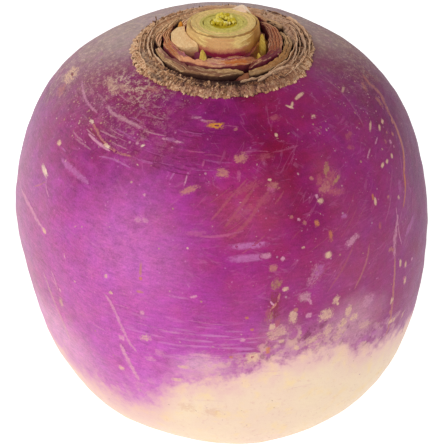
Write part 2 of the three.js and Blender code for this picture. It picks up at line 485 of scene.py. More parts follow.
@dataclass(frozen=True)
class RootForm:
    """The swollen root's outer shape."""

    radius: float = 45.0
    equator: float = 49.0
    shoulder: Quarter = Quarter(41.3, 3.23, 1.92)
    belly: Quarter = Quarter(-47.2, 3.5, 2.27)
    lean: float = -0.03
    crown_drift: float = 1.4
    lobes: tuple[tuple[int, float, float], ...] = ((2, -0.012, 90), (3, 0.007, 0), (5, 0.003, 40))
    rim: float = 19.4
    stub: float = 9.4

    def radius_at(self, height: Array) -> Array:
        """Gives the plain radius at a height, before lobes.

        Args:
            height: in millimetres.

        Returns:
            Radii in millimetres.
        """
        up = np.asarray(height, float) - self.equator
        above, below = self.shoulder, self.belly

        def side(q: Quarter) -> Array:
            """Gives the radius at each height as one quarter has it."""
            share = np.clip(np.abs(up / q.rise), 0, 1)
            return self.radius * (1 - share**q.fullness) ** (1 / q.roundness)

        return np.where(up >= 0, side(above), side(below))

    def height_at(self, radius: float, quarter: Quarter) -> float:
        """Gives the height at which a quarter of the side has narrowed to a radius."""
        share = (1 - (radius / self.radius) ** quarter.roundness) ** (1 / quarter.fullness)
        return self.equator + quarter.rise * share

    @property
    def crown_height(self) -> float:
        """The height of the corky collar's rim."""
        return self.height_at(self.rim, self.shoulder)

    @property
    def crown_shift(self) -> float:
        """How far the crown's middle lies along X."""
        return self.lean * self.crown_height + self.crown_drift

    def side(self, rows: int) -> Array:
        """Gives (radius, height) down the side at even steps, from the tap root's stub to the crown's rim.

        Args:
            rows: how many points to give.

        Returns:
            An array of the points, from the lowest up.
        """
        low = self.height_at(self.stub, self.belly)
        turns = np.linspace(-math.pi / 2, math.pi / 2, 4001)
        c, s = np.abs(np.cos(turns)), np.abs(np.sin(turns))

        def corner(q: Quarter) -> tuple[Array, Array]:
            """Gives a quarter's width, as a share, and its rise at each turn."""
            return c ** (2 / q.roundness), q.rise * s ** (2 / q.fullness)

        wide, rise = np.where(turns < 0, corner(self.belly), corner(self.shoulder))
        r, z = self.radius * wide, self.equator + rise
        keep = (z >= low) & (z <= self.crown_height)
        r, z = r[keep], z[keep]
        along = np.concatenate([[0], np.cumsum(np.hypot(np.diff(r), np.diff(z)))])
        even = np.linspace(0, along[-1], rows)
        return np.stack([np.interp(even, along, r), np.interp(even, along, z)], -1)

    def place(self, azimuth: Array, radius: Array, height: Array) -> Array:
        """Puts points of the plain round form onto the lobed, leaning root.

        Args:
            azimuth: degrees from the front.
            radius: plain radius, in millimetres.
            height: in millimetres.

        Returns:
            Points as x, y, z in millimetres.
        """
        turn = np.radians(azimuth)
        level = (height - self.equator) / (self.crown_height - self.equator)
        swelling = np.maximum(0, 1 - level**4)
        scale = 1 + swelling * sum(d * np.cos(n * turn + math.radians(t)) for n, d, t in self.lobes)
        x = radius * scale * np.sin(turn) + self.lean * np.minimum(height, self.crown_height)
        x = x + self.crown_drift * np.clip(level, 0, 1) ** 4
        return np.stack([x, -radius * scale * np.cos(turn), height + 0 * x], -1)

    def on_skin(self, azimuth: Array, height: Array) -> Array:
        """Gives points on the root's side."""
        return self.place(np.asarray(azimuth, float), self.radius_at(height), np.asarray(height, float))

    def outward(self, azimuth: Array, height: Array) -> Array:
        """Gives unit directions straight off the root's side.

        Args:
            azimuth: degrees from the front.
            height: in millimetres.

        Returns:
            Unit vectors as x, y, z.
        """
        step = 0.1
        across = self.on_skin(azimuth + step, height) - self.on_skin(azimuth - step, height)
        up = self.on_skin(azimuth, height + step) - self.on_skin(azimuth, height - step)
        off = np.cross(across, up)
        return off / np.linalg.norm(off, axis=-1, keepdims=True)

    def on_crown(self, azimuth: Array, radius: Array, rise: Array) -> Array:
        """Gives points over the crown, with rise counted from the collar's rim.

        Args:
            azimuth: degrees from the front.
            radius: millimetres from the crown's middle.
            rise: millimetres over the rim.

        Returns:
            Points as x, y, z in millimetres.
        """
        turn = np.radians(azimuth)
        x = self.crown_shift + radius * np.sin(turn)
        return np.stack(np.broadcast_arrays(x, -radius * np.cos(turn), self.crown_height + rise), -1)


FORM = RootForm()


# ---- Finishes ----


class SharedGroups:
    """The shader node groups that several finishes share, each built once."""

    def __init__(self) -> None:
        """Builds the groups."""
        self.place = self.build_place()
        self.crown = self.build_crown()
        self.patch = self.build_patch()
        self.streaks = self.build_streaks()
        self.hairlines = self.build_hairlines()
        self.skin = self.build_skin()

    def build_place(self) -> Tree:
        """Builds the group that tells a point's azimuth and height on the root, with the point.

        Returns:
            The group.
        """
        outputs = {"Azimuth": "Float", "Height": "Float", "Point": "Vector"}
        tree, g, _, out = new_group("place_on_root", "Shader", {}, outputs)
        point = g.vector("SCALE", g.node("ShaderNodeTexCoord").outputs["Object"], Scale=1 / MM)
        x, y, z = g.split(point)
        span = FORM.crown_height - FORM.equator
        level = g.math("MULTIPLY_ADD", z, 1 / span, -FORM.equator / span, clamp=True)
        drift = g.mul(g.math("POWER", level, 4.0), FORM.crown_drift)
        x = g.sub(x, g.add(g.mul(z, FORM.lean), drift))
        g.feed(out[0], g.math("DEGREES", g.math("ARCTAN2", x, g.mul(y, -1.0))))
        g.feed(out[1], z)
        g.feed(out[2], point)
        return tree

    def build_crown(self) -> Tree:
        """Builds the group that tells a point's azimuth, radius and rise on the crown, with the point.

        Returns:
            The group.
        """
        outputs = {"Azimuth": "Float", "Radius": "Float", "Rise": "Float", "Point": "Vector"}
        tree, g, _, out = new_group("place_on_crown", "Shader", {}, outputs)
        point = g.vector("SCALE", g.node("ShaderNodeTexCoord").outputs["Object"], Scale=1 / MM)
        point = g.vector("SUBTRACT", point, (FORM.crown_shift, 0.0, FORM.crown_height))
        x, y, z = g.split(point)
        g.feed(out[0], g.math("DEGREES", g.math("ARCTAN2", x, g.mul(y, -1.0))))
        g.feed(out[1], g.math("SQRT", g.add(g.mul(x, x), g.mul(y, y))))
        g.feed(out[2], z)
        g.feed(out[3], point)
        return tree

    def build_patch(self) -> Tree:
        """Builds the group that marks out a soft oval patch by azimuth and height, or azimuth and radius.

        Returns:
            The group.
        """
        inputs = {"Azimuth": 0.0, "Height": 0.0, "Middle Azimuth": 0.0, "Middle Height": 50.0}
        inputs |= {"Half Width": 10.0, "Half Height": 5.0, "Edge": 0.4, "Ragged": 0.0}
        tree, g, i, out = new_group("soft_patch", "Shader", inputs, {"Mask": "Float"})
        across = g.math("DIVIDE", g.sub(i["Azimuth"], i["Middle Azimuth"]), i["Half Width"])
        up = g.math("DIVIDE", g.sub(i["Height"], i["Middle Height"]), i["Half Height"])
        away = g.math("SQRT", g.add(g.mul(across, across), g.mul(up, up)))
        mask = g.ramp(g.add(away, i["Ragged"]), g.add(1.0, i["Edge"]), g.sub(1.0, i["Edge"]))
        g.feed(out[0], mask)
        return tree

    def oval(self, g: Graph, where: Sockets, oval: Sequence[float], edge: float, ragged: Value) -> Socket:
        """Places the group of the soft oval patch in a graph.

        Args:
            g: the graph.
            where: the azimuth and the height of a place, or its azimuth and its radius on the crown.
            oval: the azimuth and height of the patch's middle, its half width and its half height.
            edge: how soft its edge is.
            ragged: how far its edge wavers.

        Returns:
            The patch's mask.
        """
        middle, level, wide, tall = oval
        values = {"Middle_Azimuth": middle, "Middle_Height": level, "Half_Width": wide, "Half_Height": tall}
        return g.group(self.patch, Azimuth=where[0], Height=where[1], Edge=edge, Ragged=ragged, **values)[0]

    def build_streaks(self) -> Tree:
        """Builds the group of streaks that run round the crown or out from its middle.

        Returns:
            The group.
        """
        inputs = {"Point": "Vector", "Radius": 0.0, "Round": 0.35, "Outwards": 2.2, "Upwards": 2.2}
        tree, g, i, out = new_group("crown_streaks", "Shader", inputs, {"Streak": "Float", "Fine": "Float"})
        x, y, z = g.split(i["Point"])
        middle = g.math("MAXIMUM", i["Radius"], 0.5)
        x = g.mul(g.math("DIVIDE", x, middle), g.mul(i["Round"], 12.0))
        y = g.mul(g.math("DIVIDE", y, middle), g.mul(i["Round"], 12.0))
        z = g.add(g.mul(i["Radius"], i["Outwards"]), g.mul(z, i["Upwards"]))
        where = g.combine(x, y, z)
        g.feed(out[0], g.noise(where, 1.0, 3.0, 0.6))
        g.feed(out[1], g.noise(where, 3.4, 3.0, 0.6))
        return tree

    def build_hairlines(self) -> Tree:
        """Builds the group of thin broken scratches that run one way over the skin.

        Returns:
            The group.
        """
        inputs = {"Azimuth": 0.0, "Height": 0.0, "Turn": 0.0, "Length": 8.0, "Spacing": 1.5}
        tree, g, i, out = new_group("hairline_scratches", "Shader", inputs, {"Mask": "Float"})
        turn = g.math("RADIANS", i["Turn"])
        cos, sin = g.math("COSINE", turn), g.math("SINE", turn)
        across = g.mul(i["Azimuth"], DEGREE_ON_SKIN)
        along = g.math("DIVIDE", g.add(g.mul(across, cos), g.mul(i["Height"], sin)), i["Length"])
        aside = g.math("DIVIDE", g.sub(g.mul(i["Height"], cos), g.mul(across, sin)), i["Spacing"])
        where = g.combine(along, aside, i["Turn"])
        level = g.math("ABSOLUTE", g.sub(g.noise(where, 1.0, 2.0, 0.55), 0.5))
        thin = g.ramp(level, 0.022, 0.004)
        broken = g.ramp(g.noise(g.vector("MULTIPLY", where, (2.2, 0.6, 1.0)), 1.0, 2.0, 0.6), 0.52, 0.62)
        g.feed(out[0], g.mul(thin, broken))
        return tree

    def build_skin(self) -> Tree:
        """Builds the group that colours the skin: purple above, cream below, dust on the shoulders.

        Returns:
            The group.
        """
        outputs = {"Color": "Color", "Roughness": "Float", "Height": "Float"}
        tree, g, _, out = new_group("turnip_skin", "Shader", {}, outputs)
        azimuth, height, point = g.group(self.place)
        noises = {
            "broad": g.noise(point, 0.075, 2.0),
            "middle": g.noise(point, 0.28, 3.0, 0.6),
            "small": g.noise(point, 0.95, 4.0, 0.65),
            "grain": g.noise(point, 3.2, 3.0, 0.6),
        }
        skin = SkinColour(self, g, azimuth, height, point, **noises)
        colour = skin.scratched(skin.mottled(skin.purple()))
        colour = skin.bordered(colour)
        colour, rough_dust = skin.dusted(colour)
        g.feed(out["Color"], colour)
        g.feed(out["Roughness"], g.add(g.add(0.44, g.uneven(skin.small, 0.18)), g.mul(rough_dust, 0.28)))
        g.feed(out["Height"], g.add(g.mul(skin.small, 0.6), g.mul(skin.grain, 0.4)))
        return tree


@dataclass
class SkinColour:
    """The layers of the skin's colour, each laid over the one before."""

    groups: SharedGroups
    g: Graph
    azimuth: Socket
    height: Socket
    point: Socket
    broad: Socket
    middle: Socket
    small: Socket
    grain: Socket

    def patch(self, oval: Sequence[float], edge: float, ragged: Value = 0.0) -> Socket:
        """Marks out a soft oval by its middle's azimuth and height, its half width and its half height."""
        return self.groups.oval(self.g, (self.azimuth, self.height), oval, edge, ragged)

    def turn(self) -> Socket:
        """Gives the azimuth as a share of a turn that starts at the back."""
        return self.g.math("FRACT", self.g.add(self.g.mul(self.azimuth, 1 / 360), 0.5))

    def purple(self) -> Socket:
        """Gives the purple of the upper and the lower side with its broad patches, among them painted
        reflection and painted shade at the rims.

        Returns:
            The colour.
        """
        g = self.g
        turn = self.turn()
        fade = g.ramp(g.add(self.height, g.uneven(self.broad, 22.0)), 76.0, 40.0)
        colour = g.mix(fade, g.stops(turn, PIGMENT_UPPER), g.stops(turn, PIGMENT_LOWER))
        # Pigment patches, among them painted reflection and painted shade at the rims.
        for *oval, code, share, edge, blend in PIGMENT_AND_PAINTED_LIGHT_PATCHES:
            mask = self.patch(oval, edge, g.uneven(self.middle, 1.1))
            colour = g.mix(g.mul(mask, share), colour, tint(code), blend)
        return colour

    def mottled(self, colour: Socket) -> Socket:
        """Makes the colour uneven in lightness and hue.

        Args:
            colour: the even colour.

        Returns:
            The uneven colour.
        """
        g = self.g
        strokes = g.noise(g.vector("MULTIPLY", self.point, (0.45, 0.45, 1.9)), 1.0, 3.0, 0.65)
        mottle = g.add(g.uneven(self.middle, 0.36), g.uneven(self.small, 0.28))
        mottle = g.add(g.add(mottle, g.uneven(self.grain, 0.44)), g.uneven(strokes, 0.42))
        mottle = g.mul(mottle, g.add(1.0, g.mul(self.patch((-60.0, 60.0, 72.0, 55.0), 0.8), 0.75)))
        hue = g.add(0.5, g.uneven(g.noise(self.point, 0.19, 3.0, 0.6), 0.09))
        return g.shade(colour, g.add(1.0, mottle), hue)

    def scratched(self, colour: Socket) -> Socket:
        """Adds fine specks, hairlines and the level streaks low in front.

        Args:
            colour: the colour underneath.

        Returns:
            The colour with its scratches.
        """
        g = self.g
        for spacing, size, code, share in SPECKS:
            cells = g.node("ShaderNodeTexVoronoi", None, Vector=self.point, Scale=spacing).outputs["Distance"]
            specks = g.mul(g.ramp(cells, size, size * 0.4), g.ramp(self.small, 0.47, 0.60))
            colour = g.mix(g.mul(specks, share), colour, tint(code))
        for turned, length, spacing, code, share in HAIRLINES:
            values = {"Turn": turned, "Length": length, "Spacing": spacing}
            lines = g.group(self.groups.hairlines, Azimuth=self.azimuth, Height=self.height, **values)
            colour = g.mix(g.mul(lines[0], share), colour, tint(code))
        place = g.combine(g.mul(self.azimuth, 0.11), g.mul(self.height, 1.0))
        streaks = g.ramp(g.noise(place, 1.0, 2.0, 0.5), 0.54, 0.68)
        banded = g.mul(streaks, self.patch((-6.0, 47.0, 22.0, 5.5), 0.5, g.uneven(self.middle, 0.8)))
        return g.mix(g.mul(banded, 0.5), colour, tint("#cf86bd"))

    def bordered(self, colour: Socket) -> Socket:
        """Turns the purple into cream below a wavy line, by way of lilac, blotches and sunk spots.

        Args:
            colour: the purple.

        Returns:
            The purple above and the cream below.
        """
        g, turn = self.g, self.turn()
        line = g.curve(turn, [((a + 180) / 360, h / BORDER_TOP) for a, h in BORDER])
        softness = g.curve(turn, [((a + 180) / 360, s / BORDER_SOFTEST) for a, s in BORDER_SOFTNESS])
        softness = g.mul(softness, BORDER_SOFTEST)
        wavy = g.add(g.add(g.uneven(self.broad, 4.0), g.uneven(self.middle, 9.0)), g.uneven(self.small, 5.0))
        wavy = g.add(wavy, g.uneven(self.grain, 1.2))
        above = g.sub(self.height, g.add(g.mul(line, BORDER_TOP), wavy))
        lilac = g.ramp(above, g.mul(softness, 3.2), g.mul(softness, -0.2))
        lilacs = g.mix(g.ramp(self.azimuth, -15.0, 20.0), tint("#dc8cc6"), tint("#bd7aa6"))
        colour = g.mix(g.mul(lilac, 0.55), colour, lilacs)
        zone = g.ramp(above, 12.0, 1.0)
        blotches = g.ramp(g.add(g.noise(self.point, 0.46, 4.0, 0.6), g.mul(zone, 0.17)), 0.56, 0.72)
        left = g.mul(self.patch((-46.0, 34.0, 30.0, 13.0), 0.6), 0.7)
        places = g.math("MAXIMUM", self.patch((24.0, 44.0, 34.0, 14.0), 0.4), left)
        spotted = g.mix(g.ramp(self.middle, 0.4, 0.6), tint("#cf93ac"), tint("#dcb49c"))
        colour = g.mix(g.mul(g.mul(g.mul(blotches, zone), places), 0.66), colour, spotted)
        sunk = g.mul(g.ramp(g.noise(self.point, 0.85, 3.0, 0.6), 0.55, 0.66), g.ramp(above, 13.0, 5.0))
        colour = g.mix(g.mul(g.mul(sunk, 0.4), g.ramp(self.azimuth, -5.0, 12.0)), colour, tint("#6e1c50"))
        white = g.ramp(above, softness, g.mul(softness, -1.0))
        return g.mix(white, colour, self.cream(g.ramp(above, g.mul(softness, -3.6), softness)))

    def cream(self, blush: Socket) -> Socket:
        """Gives the cream of the underside, pink where the blush is.

        Args:
            blush: how pink it is, from 0 to 1.

        Returns:
            The colour.
        """
        g = self.g
        cream = g.mix(g.ramp(self.broad, 0.35, 0.65), tint("#efd6b8"), tint("#eccfb8"))
        cream = g.mix(g.ramp(self.middle, 0.5, 0.75), cream, tint("#f0d2a4"))
        cream = g.mix(g.mul(g.ramp(self.small, 0.56, 0.70), 0.35), cream, tint("#dba59c"))
        return g.mix(g.mul(blush, 0.65), cream, tint("#df9fb2"))

    def dusted(self, colour: Socket) -> tuple[Socket, Socket]:
        """Lays dust on the shoulders and gives the colour and how dusty the skin is.

        Args:
            colour: the colour underneath.

        Returns:
            The dusted colour, and a mask of the dust.
        """
        g = self.g
        speck = g.ramp(g.add(g.mul(self.small, 0.5), g.mul(self.grain, 0.5)), 0.47, 0.58)
        dusty = 0.0
        for *oval, share in DUST:
            mask = g.mul(self.patch(oval, 0.7, g.uneven(self.middle, 2.4)), share)
            dusty = g.math("MAXIMUM", dusty, mask)
        dust = g.mul(dusty, g.add(0.08, g.mul(speck, 0.92)))
        tones = g.mix(g.ramp(self.small, 0.35, 0.65), tint("#845250"), tint("#dfc5a8"))
        return g.mix(dust, colour, tones), dusty


PIGMENT_UPPER = (
    (0.0, "#8a2f70"), (0.25, "#933f80"), (0.33, "#aa4490"), (0.42, "#b44a9e"), (0.48, "#a02a80"),
    (0.53, "#981f66"), (0.60, "#8c1652"), (0.67, "#8c2a60"), (0.76, "#7c2c5a"), (1.0, "#8a2f70"),
)
PIGMENT_LOWER = (
    (0.0, "#b0559a"), (0.30, "#b16690"), (0.36, "#bb5e9e"), (0.44, "#be56ac"), (0.50, "#b0459a"),
    (0.56, "#a03a7c"), (0.64, "#9a4278"), (0.72, "#8f4574"), (1.0, "#b0559a"),
)
# Broad patches of pigment, together with painted light: painted reflection at the back shoulders and on the
# left limb, painted shade on the right limb.
PIGMENT_AND_PAINTED_LIGHT_PATCHES = (
    (-55, 90, 52, 15, "#c887a6", 1.0, 0.7, "MULTIPLY"), (20, 81, 10, 7, "#7c0034", 0.9, 0.65, "MIX"),
    (2, 85, 12, 4, "#7d0f5c", 0.6, 0.6, "MIX"), (8, 75, 12, 6, "#a8425e", 0.5, 0.7, "MIX"),
    (35, 77, 4.5, 3.4, "#a2505a", 0.4, 0.8, "MIX"), (38, 62, 9, 10, "#a85478", 0.35, 0.7, "MIX"),
    (15, 55, 4, 6, "#8c2858", 0.5, 0.7, "MIX"), (-24, 66, 14, 9, "#c670b4", 0.5, 0.8, "MIX"),
    # Grey-mauve patches at the back shoulders, here and at azimuth 180 below: painted reflection of the white
    # surround at the grazing rim.
    (-116, 90, 36, 8.5, "#bfa69e", 0.85, 0.85, "MIX"), (110, 90, 32, 7, "#b08c86", 0.8, 0.85, "MIX"),
    # Darker patches on the right limb at azimuth 80, here, on the next line and on the last line: painted
    # shade on the side turned from the key light.
    (54, 74, 30, 20, "#a83a90", 0.3, 0.85, "MIX"), (80, 66, 14, 18, "#742c62", 0.5, 0.8, "MIX"),
    (80, 84, 16, 7, "#7c2c56", 0.5, 0.8, "MIX"), (-68, 81, 16, 7, "#9c2870", 0.6, 0.8, "MIX"),
    (-28, 87, 15, 4.4, "#881a5c", 0.65, 0.8, "MIX"), (-68, 84, 20, 4, "#88385a", 0.5, 0.8, "MIX"),
    # Painted reflection of the white surround at the back shoulders.
    (180, 92, 62, 9, "#c4b0ac", 0.85, 0.8, "MIX"), (-180, 92, 62, 9, "#c4b0ac", 0.85, 0.8, "MIX"),
    # The pale patch on the left limb at azimuth -90: painted reflection of the white surround on the rim.
    (-90, 52, 26, 26, "#c69cb0", 0.4, 0.9, "MIX"), (-58, 32, 16, 7, "#e6b0c8", 0.6, 0.8, "MIX"),
    (35, 46, 9, 5, "#cc98a6", 0.7, 0.8, "MIX"), (15, 48, 5, 4, "#bd8496", 0.5, 0.9, "MIX"),
    (-5, 41, 6, 3, "#e0b0c4", 0.7, 0.8, "MIX"), (25, 72, 6, 4, "#84134e", 0.7, 0.7, "MIX"),
    (6, 80, 7, 3, "#a01a68", 0.6, 0.7, "MIX"), (80, 70, 9, 9, "#702058", 0.5, 0.8, "MIX"),
)
SPECKS = ((0.62, 0.17, "#cf86b4", 0.45), (1.15, 0.16, "#c98aa0", 0.35), (0.9, 0.14, "#7a1a56", 0.4))
HAIRLINES = (
    (38.0, 14.0, 2.4, "#c4709a", 0.2),
    (-28.0, 10.0, 1.9, "#c880a8", 0.16),
    (3.0, 12.0, 1.4, "#c46ea2", 0.2),
)
BORDER_TOP = 60.0
BORDER_SOFTEST = 12.0
BORDER = (
    (-180, 34), (-140, 37), (-100, 32), (-60, 27), (-40, 24), (-30, 24), (-20, 28), (-10, 36), (0, 37),
    (10, 40), (20, 42), (30, 42), (37, 37.5), (50, 35), (65, 32), (110, 33), (150, 38), (180, 34),
)
BORDER_SOFTNESS = (
    (-180, 3), (-60, 4), (-30, 4.5), (-18, 4), (-8, 2.2), (10, 2), (30, 2.4), (60, 2.4), (180, 3),
)
DUST = (
    (-51, 88.3, 17, 2.2, 0.65), (-62, 87.2, 9, 1.5, 0.7), (-38, 85.0, 16, 3.2, 0.2),
    (-80, 86.8, 16, 2.6, 0.4), (-108, 83.0, 22, 6.0, 0.45), (104, 86.0, 28, 4.0, 0.35),
    (140, 85.0, 40, 5.0, 0.6), (-140, 86.0, 40, 4.0, 0.6),
)


class SkinFinish:
    """The living skin of the root."""

    def build(self, groups: SharedGroups) -> Material:
        """Builds the material.

        Args:
            groups: the shared groups.

        Returns:
            The material.
        """
        material, g, shader = new_material("turnip_skin", SHEEN)
        colour, roughness, height = g.group(groups.skin)
        g.feed(shader["Base Color"], colour)
        g.feed(shader["Roughness"], roughness)
        g.feed(shader["Normal"], g.bump(height, *SKIN_GRAIN))
        return material


# ---- The root ----


@dataclass
class Root:
    """The swollen root with its skin, standing on the face where the tap root was cut."""

    columns: int = 340
    side_rows: int = 190
    cut_radius: float = 8.4
    dents: Ripple = field(default_factory=lambda: Ripple(26.0, 1))
    dimples: Ripple = field(default_factory=lambda: Ripple(5.0, 2))
    freckle_patches: Fives = (
        (-66, 84.5, 30, 4.5, 1.0),
        (-36, 87.8, 18, 1.5, 0.6),
        (-95, 75, 20, 12, 0.3),
        (80, 84, 40, 4, 0.4),
        (20, 46, 30, 5, 0.12),
        (60, 76, 12, 8, 0.12),
        (160, 84, 60, 4, 0.4),
    )

    def profile(self) -> Array:
        """Gives (radius, height, how much of the unevenness applies) from under the root to the crown.

        Returns:
            An array with one row for each ring of the skin.
        """
        cut = [(r, 0.0, 0.0) for r in np.linspace(0.8, self.cut_radius - 0.3, 8)]
        turned = ((-0.08, 0.03, 0.0), (0, 0.15, 0.0), (0.1, 0.6, 0.1))
        edge = [(self.cut_radius + r, h, s) for r, h, s in turned]
        side = FORM.side(self.side_rows)
        share = smooth(0, 6, side[:, 1]) * smooth(0, 5, FORM.crown_height + 2.5 - side[:, 1])
        rows = cut + edge + [(r, z, s) for (r, z), s in zip(side, share)]
        rows += [(r, FORM.crown_height - 0.1, 0.0) for r in (18.5, 16.0, 12.0, 6.0)]
        return np.array(rows)

    def build(self) -> Obj:
        """Builds the skin's mesh.

        Returns:
            The new object.
        """
        rows = self.profile()
        azimuth = all_round(self.columns)
        points = FORM.place(azimuth[None, :], rows[:, 0, None], rows[:, 1, None])
        bumps = 0.35 * self.dents.at(points) + 0.05 * self.dimples.at(points)
        outward = points - np.array([FORM.lean * FORM.equator, 0, FORM.equator])
        outward /= np.linalg.norm(outward, axis=-1, keepdims=True)
        points = points + outward * (bumps * rows[:, 2, None])[..., None]
        freckled = self.freckled(azimuth[None, :], rows[:, 1, None])
        return solid_of_rings("root_skin", points, {"freckled": freckled})

    def freckled(self, azimuth: Array, height: Array) -> Array:
        """Gives how densely freckles may grow at each place.

        Args:
            azimuth: degrees from the front.
            height: in millimetres.

        Returns:
            Shares from 0 to 1.
        """
        turn = (azimuth + 180) % 360 - 180
        total = 0.03 * smooth(9, 16, height) + 0 * turn
        for middle, level, half_turn, half_height, share in self.freckle_patches:
            away = ((turn - middle) / half_turn) ** 2 + ((height - level) / half_height) ** 2
            total = np.maximum(total, share * np.exp(-away))
        return total


# ---- The crown ----


@dataclass(frozen=True)
class Stain:
    """A soft patch of another colour on the crown."""

    azimuth: float
    radius: float
    half_turn: float
    half_width: float
    colour: str
    share: float = 0.8


def stained(
    g: Graph, groups: SharedGroups, place: Sockets, colour: Socket, stains: Sequence[Stain], ragged: Socket
) -> Socket:
    """Lays soft patches of other colours over a colour.

    Args:
        g: the material's graph.
        groups: the shared groups.
        place: the outputs that tell the place on the crown.
        colour: the colour underneath.
        stains: the patches.
        ragged: how far their edges waver.

    Returns:
        The colour with its patches.
    """
    for s in stains:
        oval = (s.azimuth, s.radius, s.half_turn, s.half_width)
        mask = groups.oval(g, (place["Azimuth"], place["Radius"]), oval, 0.35, ragged)
        colour = g.mix(g.mul(mask, s.share), colour, tint(s.colour))
    return colour


@dataclass(frozen=True)
class CutTissue:
    """The finish of a cut or dried leaf base: streaked face, painted shade on its walls and at its foot, a
    painted highlight on its crest, stains.
    """

    name: str
    face: str
    face_dark: str
    streak: str
    # The foot colour is painted shade, darkening each piece towards its foot, where it stands in the crevice.
    foot: str
    foot_from: float
    foot_to: float
    streak_share: float = 0.5
    low: str = ""
    low_from: float = 0.0
    low_to: float = 0.0
    roughness: float = 0.55
    round_scale: float = 0.35
    outwards: float = 2.2
    relief: float = 0.12
    # The wall colour is painted shade on the walls and in the joints between sheets; the crest colour also
    # paints a highlight along the top edges.
    wall: str = ""
    wall_from: float = 0.97
    wall_to: float = 0.82
    crest: str = "#e2b88f"
    sheets: Tones = ()
    stains: tuple[Stain, ...] = ()
    stains_at_foot: tuple[Stain, ...] = ()

    def build(self, groups: SharedGroups) -> Material:
        """Builds the material.

        Args:
            groups: the shared groups.

        Returns:
            The material.
        """
        material, g, shader = new_material(self.name, DRY_SHEEN)
        place = g.group(groups.crown)
        values = {"Point": place["Point"], "Radius": place["Radius"]}
        streaks = g.group(groups.streaks, Round=self.round_scale, Outwards=self.outwards, **values)
        small = g.noise(place["Point"], 1.4, 4.0, 0.65)
        grain = g.noise(place["Point"], 4.5, 3.0, 0.6)
        light = g.ramp(g.add(g.mul(streaks["Streak"], 0.6), g.mul(small, 0.4)), 0.36, 0.64)
        colour = g.mix(light, tint(self.face_dark), tint(self.face))
        if self.sheets:
            sheet = g.add(g.attribute("sheet"), g.uneven(small, 0.5))
            colour = g.mix(0.6, colour, g.stops(sheet, self.sheets))
        fine = g.mul(g.ramp(streaks["Fine"], 0.52, 0.60), self.streak_share)
        colour = g.mix(fine, colour, tint(self.streak))
        if self.wall:
            colour = g.mix(g.mul(g.ramp(streaks["Fine"], 0.44, 0.37), 0.5), colour, tint(self.crest))
        if self.low:
            low = g.ramp(g.add(place["Rise"], g.uneven(small, 1.6)), self.low_to, self.low_from)
            colour = g.mix(low, colour, tint(self.low))
        ragged = g.uneven(g.add(g.mul(streaks["Streak"], 0.7), g.mul(small, 0.3)), 2.4)
        colour = stained(g, groups, place, colour, self.stains, ragged)
        # Painted highlight on the crest and painted shade on the walls.
        if self.wall:
            colour = self.walled(g, colour, small, grain)
        # Painted shade: darker towards the foot, where the piece stands in the crevice.
        foot = g.ramp(g.add(place["Rise"], g.uneven(small, 1.2)), self.foot_to, self.foot_from)
        colour = g.mix(foot, colour, tint(self.foot))
        colour = stained(g, groups, place, colour, self.stains_at_foot, ragged)
        g.feed(shader["Base Color"], g.shade(colour, g.add(0.72, g.mul(grain, 0.56))))
        g.feed(shader["Roughness"], g.add(self.roughness - 0.1, g.mul(small, 0.2)))
        height = g.add(g.mul(streaks["Fine"], 0.6), g.mul(grain, 0.4))
        g.feed(shader["Normal"], g.bump(height, self.relief * MM, 0.7))
        return material

    def walled(self, g: Graph, colour: Socket, small: Socket, grain: Socket) -> Socket:
        """Paints a highlight on the crest, and paints shade on the walls and in the joints between its
        sheets.

        Args:
            g: the material's graph.
            colour: the colour so far.
            small: a noise of small patches.
            grain: a finer noise.

        Returns:
            The colour with its crest and walls.
        """
        layer = g.add(g.attribute("layer"), g.uneven(grain, 0.3))
        lift = g.add(g.attribute("lift"), g.uneven(small, 0.16))
        # Painted highlight along the top edges of the sheets.
        rim = g.mul(g.mul(g.ramp(layer, 0.45, 0.7), g.ramp(layer, 1.0, 0.8)), g.ramp(lift, 0.88, 0.96))
        colour = g.mix(g.mul(rim, 0.7), colour, tint(self.crest))
        # Painted shade on the walls and in the joints between the sheets.
        sunk = g.math("MAXIMUM", g.ramp(layer, 0.5, 0.15), g.ramp(lift, self.wall_from, self.wall_to))
        return g.mix(g.mul(sunk, 0.9), colour, tint(self.wall))


